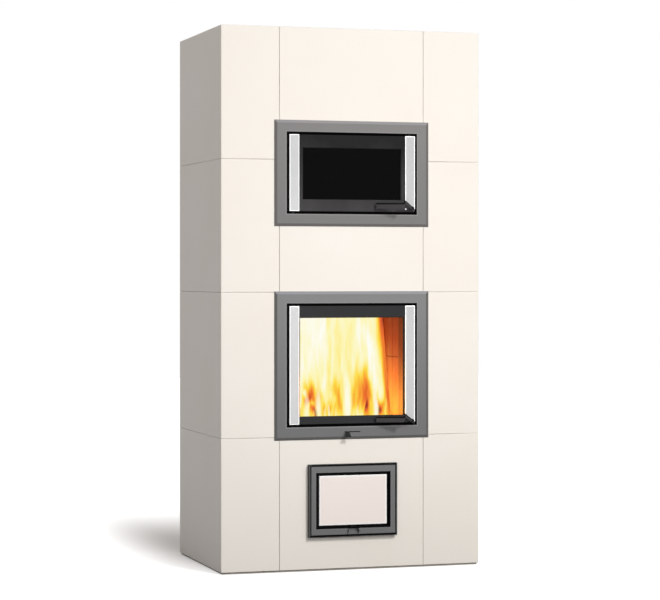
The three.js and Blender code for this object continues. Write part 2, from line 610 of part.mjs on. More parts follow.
/** The lever's section at x: pairs of a distance to the side and a height above the spindle's axis. */
function leverSection(x) {
  const k = Math.max(1, LEVER_STATIONS.findIndex(([at]) => at >= x));
  const [before, after] = [LEVER_STATIONS[k - 1], LEVER_STATIONS[k]];
  const share = THREE.MathUtils.clamp((x - before[0]) / (after[0] - before[0]), 0, 1);
  const [low, high] = [1, 2].map((edge) => THREE.MathUtils.lerp(before[edge], after[edge], share));
  const half = LEVER.thickness / 2;
  const bead = LEVER.bead / 2;
  return [
    [half, low], [-half, low], [-half, high - bead * 2], [-bead, high - bead * 1.4], [-bead, high - bead * 0.6],
    [-half, high], [half, high], [bead, high - bead * 0.6], [bead, high - bead * 1.4], [half, high - bead * 2],
  ];
}

function buildGlazedDoor(name, door, glass, slots = []) {
  const pivotY = LEAF_FACE + DOOR_PIVOT.behindFace;
  add(`${name}_surround`, doorSurround(door, slots), SURROUND_PAINT);
  add(`${name}_leaf`, doorLeaf(door), LEAF_PAINT);
  add(`${name}_glass`, doorGlass(door), glass);
  add(`${name}_seal`, doorSeal(door), SEAL_ROPE);
  add(`${name}_strip_left`, doorStrip(door, -1), BRUSHED_STEEL);
  add(`${name}_strip_right`, doorStrip(door, 1), BRUSHED_STEEL);
  const reach = SURROUND.wall + 3;
  const pin = hingePin(DOOR_PIVOT.x, pivotY, DOOR_PIVOT.pin, DOOR_PIVOT.collar, door.openBottom - reach,
    door.openTop + reach, door.openBottom, LEAF.gapBelow);
  add(`${name}_hinge_pin`, pin, BLACK_STEEL);
  add(`${name}_lever`, latchLever(door), BLACK_STEEL);
}

// ---------------------------------------------------------------- air control

function airSlot() {
  const half = AIR.stalk / 2;
  const x0 = AIR.x - half - 2;
  const x1 = AIR.x + AIR.travel + half + 2;
  const lift = AIR.sheet / 2 + GAP;
  return block(x0, x1, SURROUND_FACE - 1, FRONT + 1, AIR.z - lift, AIR.z + lift);
}

/** The air slide: a plate behind the surround, a stalk through its slot and a tab that flares downwards. */
function airSlide() {
  const { x, z, stalk, sheet, reach, tabHeight, tabWidth, tabLean, shutterHalf, shutterHalfHeight } = AIR;
  const tip = FRONT - reach;
  const shutter = block(x - shutterHalf, x + shutterHalf, FRONT, FRONT + sheet, z - shutterHalfHeight,
    z + shutterHalfHeight);
  const arm = block(x - stalk / 2, x + stalk / 2, tip, FRONT + 1, z - sheet / 2, z + sheet / 2);
  const tabTop = z + sheet / 2;
  const ring = (half, y, height) => [[x - half, y, height], [x + half, y, height], [x + half, y + sheet, height],
    [x - half, y + sheet, height]];
  const tab = loft([ring(stalk / 2, tip, tabTop), ring(tabWidth / 2, tip - tabLean, tabTop - tabHeight)]);
  return carve([shutter, arm, tab]);
}

// ---------------------------------------------------------------- ash door

function buildAshDoor() {
  const { centre, halfWidth, halfHeight, proud, rim, gap, back } = ASH_DOOR;
  const face = FRONT - proud;
  const innerX = halfWidth - rim;
  const innerZ = halfHeight - rim;
  const box = (x, z, y0, y1) => block(-x, x, y0, y1, centre - z, centre + z);
  const landing = FRONT - GAP - back;
  const wall = 3;
  const rimBox = loft([
    frontRing(-halfWidth + 1, halfWidth - 1, centre - halfHeight + 1, centre + halfHeight - 1, face),
    frontRing(-halfWidth, halfWidth, centre - halfHeight, centre + halfHeight, face + 1),
    frontRing(-halfWidth, halfWidth, centre - halfHeight, centre + halfHeight, FRONT - GAP),
  ]);
  const mouthX = ASH_LEAF.mouthHalf;
  const mouthZ = ASH_LEAF.mouthHalfHeight;
  const leafX = innerX - gap;
  const leafZ = innerZ - gap;
  const pivotX = -leafX + ASH_PIVOT.fromEdge;
  const pivotY = face + ASH_PIVOT.behindFace;
  const pinHole = uprightBar(pivotX, pivotY, ASH_PIVOT.pin + GAP, centre - halfHeight - 1,
    centre + halfHeight + 1, 12);
  const surround = carve([rimBox, box(mouthX + wall, mouthZ + wall, landing, TILE_BACK)],
    [box(innerX, innerZ, face - 1, landing), box(mouthX, mouthZ, face, TILE_BACK + 1), pinHole]);
  add('ash_door_surround', surround, SURROUND_PAINT);

  const openX = leafX - ASH_LEAF.bandX;
  const openZ = leafZ - ASH_LEAF.bandZ;
  const leafBack = landing - GAP;
  const frontPlate = loft([
    frontRing(-leafX + 1.5, leafX - 1.5, centre - leafZ + 1.5, centre + leafZ - 1.5, face),
    frontRing(-leafX, leafX, centre - leafZ, centre + leafZ, face + 1.5),
    frontRing(-leafX, leafX, centre - leafZ, centre + leafZ, face + ASH_LEAF.plate),
  ]);
  const pinBore = uprightBar(pivotX, pivotY, ASH_PIVOT.bore, centre - leafZ - 1, centre + leafZ + 1, 12);
  const leaf = carve([frontPlate, box(openX + 4, openZ + 4, face + 5, leafBack), fingerGrip(face)],
    [box(openX, openZ, face, leafBack - ASH_LEAF.back), pinBore]);
  add('ash_door_leaf', leaf, SURROUND_PAINT);

  const { halfWidth: tileX, halfHeight: tileZ, recess, round } = ASH_TILE;
  const panel = loft([
    frontRing(-tileX + round, tileX - round, centre - tileZ + round, centre + tileZ - round, face + recess),
    frontRing(-tileX + 0.6, tileX - 0.6, centre - tileZ + 0.6, centre + tileZ - 0.6, face + recess + 0.8),
    frontRing(-tileX, tileX, centre - tileZ, centre + tileZ, face + recess + round),
    frontRing(-tileX, tileX, centre - tileZ, centre + tileZ, leafBack - ASH_LEAF.back - GAP),
  ]);
  add('ash_door_tile', panel, GLAZED_TILE);
  const pin = hingePin(pivotX, pivotY, ASH_PIVOT.pin, ASH_PIVOT.collar, centre - halfHeight, centre + halfHeight,
    centre - innerZ, gap);
  add('ash_door_hinge_pin', pin, BLACK_STEEL);
}

/** The arched lip on the ash door's lower rail, pulled with a fingertip. */
function fingerGrip(face) {
  const arch = new THREE.Shape();
  arch.absarc(0, ASH_GRIP.z, ASH_GRIP.outer, 0, Math.PI, false);
  arch.absarc(0, ASH_GRIP.z, ASH_GRIP.inner, Math.PI, 0, true);
  arch.closePath();
  return plate(arch, face - ASH_GRIP.reach, face + 2, 12);
}

// ---------------------------------------------------------------- assembly

buildBaseAndTop();
buildTileShell();
buildCore();
buildAshChamber();
buildFirebox();
buildOven();
buildGlazedDoor('oven_door', OVEN_DOOR, DARK_GLASS);
buildGlazedDoor('fire_door', FIRE_DOOR, CLEAR_GLASS, [airSlot()]);
add('air_slide', airSlide(), BLACK_STEEL);
buildAshDoor();

export default stove;
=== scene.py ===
"""Looks of the tiled stove: finishes, small fittings, fire, floor, light and camera, in metres, +Z up."""

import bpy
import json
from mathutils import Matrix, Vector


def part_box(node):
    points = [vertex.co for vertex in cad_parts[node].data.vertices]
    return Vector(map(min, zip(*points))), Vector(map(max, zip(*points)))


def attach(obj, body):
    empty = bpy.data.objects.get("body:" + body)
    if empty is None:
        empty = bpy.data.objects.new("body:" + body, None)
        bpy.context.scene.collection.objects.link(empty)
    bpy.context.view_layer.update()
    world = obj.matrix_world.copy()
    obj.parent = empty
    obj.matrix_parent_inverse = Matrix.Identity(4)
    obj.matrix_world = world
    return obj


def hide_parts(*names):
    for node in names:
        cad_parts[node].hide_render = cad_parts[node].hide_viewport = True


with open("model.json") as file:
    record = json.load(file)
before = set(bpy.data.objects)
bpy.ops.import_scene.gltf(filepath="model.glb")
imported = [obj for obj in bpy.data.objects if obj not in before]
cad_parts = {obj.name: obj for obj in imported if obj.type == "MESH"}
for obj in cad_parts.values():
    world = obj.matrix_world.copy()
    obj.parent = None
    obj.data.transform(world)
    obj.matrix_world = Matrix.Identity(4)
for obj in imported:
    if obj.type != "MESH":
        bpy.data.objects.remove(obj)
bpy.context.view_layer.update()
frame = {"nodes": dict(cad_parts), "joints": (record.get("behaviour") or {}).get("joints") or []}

import json
import logging
import math
from abc import ABC, abstractmethod
from collections.abc import Callable
from dataclasses import dataclass, replace
from enum import Enum

import bmesh
import bpy
from mathutils import Matrix, Vector, noise

Colour = tuple[float, float, float, float]
Point = tuple[float, float, float]
Span = tuple[float, float]
Socket = bpy.types.NodeSocket

log = logging.getLogger("stove")

IMAGE_WIDTH = 660
SENSOR_WIDTH = 36.0
MM = 0.001
JOINED = 0.01 * MM
SAME_PLACE_DIGITS = 6
BURN = "burn"
BLACK = (0.0, 0.0, 0.0, 1.0)
WHITE = (1.0, 1.0, 1.0, 1.0)
ROUND = 35.0

# the values of a pattern between which it goes from nothing to all
NOISE_SPAN = (0.3, 0.7)
CLOUD_SPAN = (0.35, 0.65)
SPECK_SPAN = (0.62, 0.7)
PORE_SPAN = (0.0, 0.25)


def tone(code: str) -> Colour:
    """Turns a colour as it looks on screen into linear light.

    Args:
        code: six hexadecimal digits, red first.

    Returns:
        The linear colour with an alpha of 1.
    """
    parts = [int(code[i:i + 2], 16) / 255 for i in (0, 2, 4)]
    linear = [p / 12.92 if p <= 0.04045 else ((p + 0.055) / 1.055) ** 2.4 for p in parts]
    return (*linear, 1.0)


# ---------------------------------------------------------------- node trees

class Grain(Enum):
    """The way in which a finish's fine relief runs."""

    EVEN = (1.0, 1.0, 1.0)
    ALONG_X = (0.02, 1.0, 1.0)
    ALONG_Z = (1.0, 1.0, 0.02)


class CellDistance(Enum):
    """What a pattern of cells gives: the distance to the nearest point, or to the nearest edge."""

    POINT = "F1"
    EDGE = "DISTANCE_TO_EDGE"


class Tree:
    """A node tree, with short calls for the nodes that the materials and the sky share."""

    def __init__(self, tree: bpy.types.NodeTree) -> None:
        """Takes the tree to which the nodes are added."""
        self.nodes = tree.nodes
        self.links = tree.links

    def feed(self, value: object, target: Socket) -> None:
        """Links a socket to the target, or writes a plain value on it.

        Args:
            value: the socket or the value.
            target: the socket that takes it.
        """
        if isinstance(value, Socket):
            self.links.new(value, target)
        else:
            target.default_value = value

    def ramp(self, value: Socket, stops: list[tuple[float, Colour]]) -> Socket:
        """A colour that follows a value.

        Args:
            value: the socket that is followed.
            stops: places from 0 to 1, each with its colour.

        Returns:
            The socket with the colour.
        """
        made = self.nodes.new("ShaderNodeValToRGB")
        elements = made.color_ramp.elements
        while len(elements) < len(stops):
            elements.new(0.5)
        for element, (where, colour) in zip(elements, stops):
            element.position = where
            element.color = colour
        self.feed(value, made.inputs["Fac"])
        return made.outputs["Color"]

    def span(self, value: Socket, low: float, high: float, start: float = 0.0, end: float = 1.0,
             eased: bool = False) -> Socket:
        """Maps a value from one range to another, held at both ends.

        Args:
            value: the socket that is read.
            low: the value that gives the start.
            high: the value that gives the end.
            start: what comes out at the low value.
            end: what comes out at the high value.
            eased: whether it leaves and meets both ends gently.

        Returns:
            The socket with the mapped value.
        """
        made = self.nodes.new("ShaderNodeMapRange")
        made.interpolation_type = "SMOOTHSTEP" if eased else "LINEAR"
        self.feed(value, made.inputs["Value"])
        for name, number in (("From Min", low), ("From Max", high), ("To Min", start), ("To Max", end)):
            made.inputs[name].default_value = number
        return made.outputs["Result"]

    def sum(self, operation: str, first: Socket | float, second: Socket | float = 0.0) -> Socket:
        """The outcome of one operation of arithmetic.

        Args:
            operation: the operation's name.
            first: the first number or its socket.
            second: the second number or its socket, where the operation takes two.

        Returns:
            The socket with the outcome.
        """
        made = self.nodes.new("ShaderNodeMath")
        made.operation = operation
        self.feed(first, made.inputs[0])
        self.feed(second, made.inputs[1])
        return made.outputs[0]

    def length(self, first: Socket, second: Socket) -> Socket:
        """The length of a line whose two legs stand square to each other."""
        squares = [self.sum("MULTIPLY", leg, leg) for leg in (first, second)]
        return self.sum("SQRT", self.sum("ADD", *squares))

    def mix(self, share: Socket | float, first: Socket | Colour, second: Socket | Colour) -> Socket:
        """A colour between two others.

        Args:
            share: how much of the second colour there is.
            first: the first colour or its socket.
            second: the second colour or its socket.

        Returns:
            The socket with the mixed colour.
        """
        made = self.nodes.new("ShaderNodeMix")
        made.data_type = "RGBA"
        self.feed(share, made.inputs[0])
        self.feed(first, made.inputs[6])
        self.feed(second, made.inputs[7])
        return made.outputs[2]

    def seen_light(self) -> Socket:
        """Tells the rays that are seen from the light on surfaces.

        Returns:
            The socket: 1 for the camera's rays and those that metal and glass pass on, and 0 for the others.
        """
        path = self.nodes.new("ShaderNodeLightPath")
        seen = path.outputs["Is Camera Ray"]
        for name in ("Is Glossy Ray", "Is Transmission Ray"):
            seen = self.sum("MAXIMUM", seen, path.outputs[name])
        return seen


class Graph(Tree):
    """The node tree of one material, with calls for the places and patterns on its surface."""

    def __init__(self, name: str) -> None:
        """Starts a material that holds one shader.

        Args:
            name: the material's name, without what all the names start with.
        """
        self.material = bpy.data.materials.new(f"look_{name}")
        self.material.use_nodes = True
        super().__init__(self.material.node_tree)
        self.shader = self.nodes["Principled BSDF"]
        self.coordinates = self.nodes.new("ShaderNodeTexCoord")

    def place(self, stretch: Point = Grain.EVEN.value) -> Socket:
        """Coordinates of a point, stretched.

        Args:
            stretch: the factor on each axis.

        Returns:
            The socket with the stretched coordinates.
        """
        mapping = self.nodes.new("ShaderNodeMapping")
        mapping.inputs["Scale"].default_value = stretch
        self.feed(self.coordinates.outputs["Object"], mapping.inputs["Vector"])
        return mapping.outputs["Vector"]

    def axis(self, name: str, source: str = "Object") -> Socket:
        """One coordinate of the point.

        Args:
            name: the coordinate's letter.
            source: the output of the coordinate node that is read.

        Returns:
            The socket with the coordinate.
        """
        made = self.nodes.new("ShaderNodeSeparateXYZ")
        self.feed(self.coordinates.outputs[source], made.inputs[0])
        return made.outputs[name]

    def noise(self, scale: float, detail: float = 3.0, stretch: Point = Grain.EVEN.value) -> Socket:
        """A cloudy value from 0 to 1.

        Args:
            scale: how many clouds there are in a metre.
            detail: how many finer layers they have.
            stretch: the factor on each axis of the coordinates.

        Returns:
            The socket with the value.
        """
        made = self.nodes.new("ShaderNodeTexNoise")
        made.inputs["Scale"].default_value = scale
        made.inputs["Detail"].default_value = detail
        self.feed(self.place(stretch), made.inputs["Vector"])
        return made.outputs["Fac"]

    def cells(self, scale: float, stretch: Point = Grain.EVEN.value,
              distance: CellDistance = CellDistance.POINT) -> Socket:
        """A distance in a pattern of cells round scattered points.

        Args:
            scale: how many cells there are in a metre.
            stretch: the factor on each axis of the coordinates.
            distance: whether it is the one to the nearest point or to the nearest edge.

        Returns:
            The socket with the distance.
        """
        made = self.nodes.new("ShaderNodeTexVoronoi")
        made.feature = distance.value
        made.inputs["Scale"].default_value = scale
        self.feed(self.place(stretch), made.inputs["Vector"])
        return made.outputs["Distance"]

    def frame_distance(self, low: Vector, high: Vector) -> Socket:
        """How far the point is outside a box, seen from the front: negative inside it.

        Args:
            low: the box's lower corner.
            high: its upper corner.

        Returns:
            The socket with the distance in metres.
        """
        parts = []
        for name, start, end in (("X", low.x, high.x), ("Z", low.z, high.z)):
            offset = self.sum("ABSOLUTE", self.sum("SUBTRACT", self.axis(name), (start + end) / 2))
            parts.append(self.sum("SUBTRACT", offset, (end - start) / 2))
        return self.sum("MAXIMUM", *parts)

    def relief(self, height: Socket, depth: float, under: Socket | None = None) -> Socket:
        """Turns a height into a bumped normal.

        Args:
            height: the socket with the height, from 0 to 1.
            depth: the height in metres of a value of 1.
            under: a bumped normal that this one goes on top of.

        Returns:
            The socket with the normal.
        """
        made = self.nodes.new("ShaderNodeBump")
        made.inputs["Distance"].default_value = depth
        self.feed(height, made.inputs["Height"])
        if under is not None:
            self.feed(under, made.inputs["Normal"])
        return made.outputs["Normal"]

    def set(self, **values: object) -> None:
        """Feeds the shader's inputs, named with _ for each space."""
        for name, value in values.items():
            self.feed(value, self.shader.inputs[name.replace("_", " ")])


# ---------------------------------------------------------------- finishes

class Look(ABC):
    """What dresses a piece: its material is made once and shared."""

    name: str

    def material(self) -> bpy.types.Material:
        """The look's material, made when it is first asked for."""
        return bpy.data.materials.get(f"look_{self.name}") or self.make().material

    def over(self, ground: "Look") -> tuple[Graph, Socket]:
        """Starts from another look's finished graph.

        Args:
            ground: the look that this one goes on top of.

        Returns:
            The graph, under this look's name, and the socket with the ground's colour.
        """
        graph = ground.make()
        graph.material.name = f"look_{self.name}"
        return graph, graph.shader.inputs["Base Color"].links[0].from_socket

    @abstractmethod
    def make(self) -> Graph:
        """Builds the node tree and returns it."""


@dataclass(frozen=True)
class Finish(Look):
    """A coloured surface with clouds, specks and fine relief."""

    name: str
    colour: str
    cloud_colour: str
    roughness: float
    metallic: float = 0.0
    gloss: float = 0.5
    cloud_scale: float = 4.0
    cloud_share: float = 0.5
    speck_colour: str = "000000"
    speck_scale: float = 300.0
    speck_share: float = 0.0
    grain: Grain = Grain.EVEN
    grain_scale: float = 500.0
    grain_depth: float = 0.0
    rough_spread: float = 0.06
    pore_scale: float = 0.0
    pore_depth: float = 0.0

    def make(self) -> Graph:
        """Builds the node tree.

        Returns:
            The finished graph, to which another look may add its own nodes.
        """
        graph = Graph(self.name)
        clouds = graph.span(graph.noise(self.cloud_scale), *CLOUD_SPAN, 0.0, self.cloud_share)
        colour = graph.mix(clouds, tone(self.colour), tone(self.cloud_colour))
        if self.speck_share > 0:
            specks = graph.span(graph.noise(self.speck_scale, 2.0), *SPECK_SPAN, 0.0, self.speck_share)
            colour = graph.mix(specks, colour, tone(self.speck_colour))
        fine = graph.noise(self.grain_scale, 2.0, self.grain.value)
        smooth, rough = self.roughness - self.rough_spread, self.roughness + self.rough_spread
        graph.set(Base_Color=colour, Roughness=graph.span(fine, *NOISE_SPAN, smooth, rough),
                  Metallic=self.metallic, Specular_IOR_Level=self.gloss)
        normal = None
        if self.grain_depth > 0:
            normal = graph.relief(fine, self.grain_depth)
        if self.pore_depth > 0:
            pores = graph.span(graph.cells(self.pore_scale), *PORE_SPAN)
            normal = graph.relief(pores, self.pore_depth, normal)
        if normal is not None:
            graph.set(Normal=normal)
        return graph


@dataclass(frozen=True)
class SootAndShade(Look):
    """A surface that grows darker between two heights, with soot in the firebox and painted shade on the oven
    leaf, and may show a joint between two blocks.
    """

    name: str
    bare: Finish
    soot_and_shade_colour: str
    clean_below: float
    black_above: float
    share: float
    drift: float = 0.25
    drift_scale: float = 9.0
    drift_stretch: Point = (1.0, 1.0, 0.35)
    joint: float | None = None
    joint_width: float = 2.4 * MM
    joint_colour: str = "1a0c08"

    def make(self) -> Graph:
        """Builds the bare surface and darkens it more with the height: soot in the firebox, painted shade on
        the oven leaf.

        Returns:
            The finished graph.
        """
        graph, colour = self.over(self.bare)
        drift = graph.sum("MULTIPLY", graph.noise(self.drift_scale, 4.0, self.drift_stretch), self.drift)
        height = graph.sum("ADD", graph.axis("Z"), drift)
        cover = graph.span(height, self.clean_below, self.black_above, 0.0, self.share)
        # soot in the firebox; on the oven leaf this darkening is painted shade
        colour = graph.mix(cover, colour, tone(self.soot_and_shade_colour))
        if self.joint is not None:
            away = graph.sum("ABSOLUTE", graph.sum("SUBTRACT", graph.axis("Y"), self.joint))
            gap = graph.sum("LESS_THAN", away, self.joint_width / 2)
            colour = graph.mix(gap, colour, tone(self.joint_colour))
        graph.set(Base_Color=colour)
        return graph


@dataclass(frozen=True)
class Framing(Look):
    """Paint on a frame, with painted light and shade: black inside the opening and a little round it as
    painted shade, the lip round the opening and the upward faces in given tones of painted light and shade,
    painted shade on the bevels and painted shade towards the foot.
    """

    name: str
    paint: Finish
    node: str
    # inside the opening and within this margin round it, the frame is painted black as painted shade in the
    # recess
    sleeve: Point
    lip: float
    # tones of painted light and shade: on the lip round the opening, on the bevels, on upward faces and
    # towards the foot
    lip_light_and_shade: str
    bevel_shade: str
    upward_light_and_shade: str
    foot_shade: str
    lip_fade: float = 0.6
    foot_share: float = 0.6
    bevel_slope: Span = (-0.985, -0.955)
    upward_slope: Span = (0.1, 0.3)

    def make(self) -> Graph:
        """Builds the paint and lays over it the painted shade towards the foot, the painted light and shade
        of the lip and the upward faces, the painted shade of the bevels and the black painted shade inside
        the opening.

        Returns:
            The finished graph.
        """
        graph, colour = self.over(self.paint)
        low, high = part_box(self.node)
        distance = graph.frame_distance(low - Vector(self.sleeve), high + Vector(self.sleeve))
        # painted shade towards the foot, painted light and shade on the lip and the upward faces, painted
        # shade on the bevels
        layers = [
            (graph.span(graph.axis("Z"), high.z, low.z, 0.0, self.foot_share), self.foot_shade),
            (graph.span(distance, self.lip * self.lip_fade, self.lip, 1.0, 0.0), self.lip_light_and_shade),
            (graph.span(graph.axis("Y", "Normal"), *self.bevel_slope), self.bevel_shade),
            (graph.span(graph.axis("Z", "Normal"), *self.upward_slope), self.upward_light_and_shade),
        ]
        for share, code in layers:
            colour = graph.mix(share, colour, tone(code))
        # black in the opening and its margin: painted shade where the recess behind the frame lies
        graph.set(Base_Color=graph.mix(graph.sum("LESS_THAN", distance, 0.0), colour, BLACK))
        return graph


@dataclass(frozen=True)
class Rimmed(Look):
    """A finish with a painted highlight round the rim of its face."""

    name: str
    paint: Finish
    node: str
    width: float
    rim_highlight: str
    fade: float = 0.6

    def make(self) -> Graph:
        """Builds the finish and the painted highlight round its rim.

        Returns:
            The finished graph.
        """
        graph, colour = self.over(self.paint)
        # a painted highlight on the rim, where a rounded edge would catch the light
        rim = graph.span(graph.frame_distance(*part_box(self.node)), -self.width, -self.width * self.fade)
        graph.set(Base_Color=graph.mix(rim, colour, tone(self.rim_highlight)))
        return graph


@dataclass(frozen=True)
class Beaded(Look):
    """A lever's paint, with painted shade along the rolled bead at the top of its blade and of its sloping
    arm.
    """

    name: str
    paint: Finish
    bead_foot: float
    arm_start: float
    spindle: Point
    slope: float = 0.6
    arm_bead_foot: float = 1.0 * MM
    fade: float = 0.6 * MM
    bead_painted_shade: str = "0c0c0e"

    def make(self) -> Graph:
        """Builds the paint and paints shade on the bead.

        Returns:
            The finished graph.
        """
        graph, colour = self.over(self.paint)
        blade_bead = graph.span(graph.axis("Z"), self.bead_foot, self.bead_foot + self.fade)
        fall = graph.sum("MULTIPLY", graph.sum("SUBTRACT", graph.axis("X"), self.spindle[0]), self.slope)
        above = graph.sum("ADD", graph.sum("SUBTRACT", graph.axis("Z"), self.spindle[2]), fall)
        arm_bead = graph.span(above, self.arm_bead_foot, self.arm_bead_foot + self.fade)
        arm = graph.sum("GREATER_THAN", graph.axis("X"), self.arm_start)
        on_arm = graph.sum("MULTIPLY", arm, arm_bead)
        on_blade = graph.sum("MULTIPLY", graph.sum("SUBTRACT", 1.0, arm), blade_bead)
        # painted shade along the bead of the blade and of the arm
        bead = graph.sum("MAXIMUM", on_blade, on_arm)
        graph.set(Base_Color=graph.mix(bead, colour, tone(self.bead_painted_shade)))
        return graph


@dataclass(frozen=True)
class Glass(Look):
    """A pane that is seen through, more or less."""

    name: str
    colour: str
    cover: float
    gloss: float
    smooth: float = 0.04
    rough: float = 0.1
    film_scale: float = 6.0
    stain_scale: float = 11.0

    def make(self) -> Graph:
        """Builds a thin film of soot and wipe marks on clear glass.

        Returns:
            The finished graph.
        """
        graph = Graph(self.name)
        film = graph.span(graph.noise(self.film_scale), *NOISE_SPAN, self.smooth, self.rough)
        shade = graph.mix(graph.noise(self.stain_scale, 4.0), tone(self.colour), BLACK)
        graph.set(Base_Color=shade, Roughness=film, Alpha=self.cover, Specular_IOR_Level=self.gloss)
        return graph


# the light of a flame, from its coolest to its hottest
HEAT_COLOURS = [
    (0.0, (0.188, 0.021, 0.026, 1.0)), (0.12, (0.40, 0.053, 0.024, 1.0)), (0.25, (0.83, 0.156, 0.03, 1.0)),
    (0.38, (0.956, 0.305, 0.036, 1.0)), (0.5, (0.973, 0.515, 0.045, 1.0)), (0.6, (1.0, 0.73, 0.075, 1.0)),
    (0.7, (1.0, 0.84, 0.25, 1.0)), (0.8, (0.99, 0.93, 0.47, 1.0)), (0.9, (0.995, 0.965, 0.72, 1.0)),
    (1.0, (1.0, 1.0, 0.93, 1.0)),
]


@dataclass(frozen=True)
class Flame(Look):
    """Burning gas: glowing, hottest in the middle, thin at the edges and the tip."""

    name: str
    strength: float = 1.06
    soft: bool = True
    streaks: float = 0.07
    streak_scale: float = 15.0
    streak_stretch: Point = (2.4, 1.0, 0.3)
    wisp_scale: float = 44.0
    wisp_stretch: Point = (1.7, 1.0, 0.22)
    edge_span: Span = (0.3, 1.0)
    edge_cooling: float = 0.25
    tip_span: Span = (0.35, 1.0)
    foot_span: Span = (0.0, 0.12)
    cover: float = 0.92

    def make(self) -> Graph:
        """Builds the glow from the heat that the mesh carries, its streaks and its edges.

        Returns:
            The finished graph.
        """
        graph = Graph(self.name)
        attribute = graph.nodes.new("ShaderNodeAttribute")
        attribute.attribute_name = BURN
        streaks = graph.span(graph.noise(self.streak_scale, 3.0, self.streak_stretch), *NOISE_SPAN,
                             -self.streaks, self.streaks)
        wisps = graph.span(graph.noise(self.wisp_scale, 2.0, self.wisp_stretch), *NOISE_SPAN,
                           -self.streaks / 2, self.streaks / 2)
        warmth = graph.sum("ADD", graph.sum("ADD", attribute.outputs["Fac"], streaks), wisps)
        if self.soft:
            warmth = self.fade(graph, warmth)
        graph.set(Base_Color=BLACK, Roughness=1.0, Specular_IOR_Level=0.0,
                  Emission_Color=graph.ramp(warmth, HEAT_COLOURS), Emission_Strength=self.strength)
        return graph

    def fade(self, graph: Graph, warmth: Socket) -> Socket:
        """Thins the flame out towards its edges, its tip and its foot.

        Args:
            graph: the flame's graph, which takes the cover.
            warmth: the socket with the heat.

        Returns:
            The socket with the heat, cooler at the edges.
        """
        across = graph.sum("ABSOLUTE", graph.span(graph.axis("X", "UV"), 0.0, 1.0, -1.0, 1.0))
        up = graph.axis("Y", "UV")
        edge = graph.span(across, *self.edge_span, 1.0, 0.0)
        tip = graph.span(up, *self.tip_span, 1.0, 0.0)
        foot = graph.span(up, *self.foot_span)
        body = graph.sum("MULTIPLY", graph.sum("MULTIPLY", edge, tip), foot)
        graph.set(Alpha=graph.sum("MULTIPLY", body, self.cover))
        return graph.sum("SUBTRACT", warmth, graph.span(across, *self.edge_span, 0.0, self.edge_cooling))


@dataclass(frozen=True)
class Ember(Look):
    """Charred wood that glows in its cracks."""

    name: str
    crack_scale: float = 55.0
    crack_stretch: Point = (1.0, 0.6, 1.0)
    crack_span: Span = (0.0, 0.14)
    crack_depth: float = 4 * MM
    hot_scale: float = 14.0
    hot_span: Span = (0.4, 0.62)
    glow: float = 1.6
    dull_colour: str = "c02808"
    bright_colour: str = "ff9a28"
    char_scale: float = 40.0
    char_colour: str = "140e0b"
    ash_colour: str = "5a4a40"
    roughness: float = 0.95

    def make(self) -> Graph:
        """Builds black char, grey ash on it, and cracks with a red glow.

        Returns:
            The finished graph.
        """
        graph = Graph(self.name)
        inward = graph.cells(self.crack_scale, self.crack_stretch, CellDistance.EDGE)
        crack = graph.span(inward, *self.crack_span, 1.0, 0.0)
        hot = graph.span(graph.noise(self.hot_scale, 2.0), *self.hot_span)
        char = graph.mix(graph.noise(self.char_scale), tone(self.char_colour), tone(self.ash_colour))
        fire = graph.mix(crack, tone(self.dull_colour), tone(self.bright_colour))
        strength = graph.sum("MULTIPLY", graph.sum("MULTIPLY", crack, hot), self.glow)
        graph.set(Base_Color=char, Roughness=self.roughness, Emission_Color=fire,
                  Emission_Strength=strength, Normal=graph.relief(inward, self.crack_depth))
        return graph


GLAZE = Finish("tile_glaze", "f4f0ea", "f1ebe3", 0.5, gloss=0.3, cloud_scale=2.2, cloud_share=0.6,
               speck_colour="d8c9b8", speck_scale=900.0, speck_share=0.2, grain_scale=160.0,
               grain_depth=0.12 * MM)
ASH_TILE = replace(GLAZE, name="ash_tile_glaze", colour="f9f0ec", cloud_colour="f6ece7")
CONCRETE = Finish("cast_concrete", "b3aea5", "c1bcb2", 0.92, gloss=0.25, cloud_scale=6.0, cloud_share=0.8,
                  speck_colour="7c776e", speck_share=0.6, grain_scale=320.0, grain_depth=0.6 * MM,
                  pore_scale=120.0, pore_depth=0.8 * MM)
REFRACTORY = Finish("refractory", "b59f83", "a48c70", 0.95, gloss=0.2, cloud_scale=8.0, cloud_share=0.8,
                    speck_colour="8a745c", speck_share=0.5, grain_scale=260.0, grain_depth=0.7 * MM,
                    pore_scale=90.0, pore_depth=1.2 * MM)
CAST_IRON = Finish("cast_iron", "2c2c2e", "3a3836", 0.62, metallic=0.75, gloss=0.4, cloud_scale=20.0,
                   speck_colour="4a3a30", speck_share=0.35, grain_scale=700.0, grain_depth=0.3 * MM)
LEAF = Finish("leaf_paint", "303133", "2a2b2d", 0.55, gloss=0.08, cloud_scale=5.0, speck_colour="4c4d4f",
              speck_scale=1500.0, speck_share=0.3, grain_scale=900.0, grain_depth=0.05 * MM)
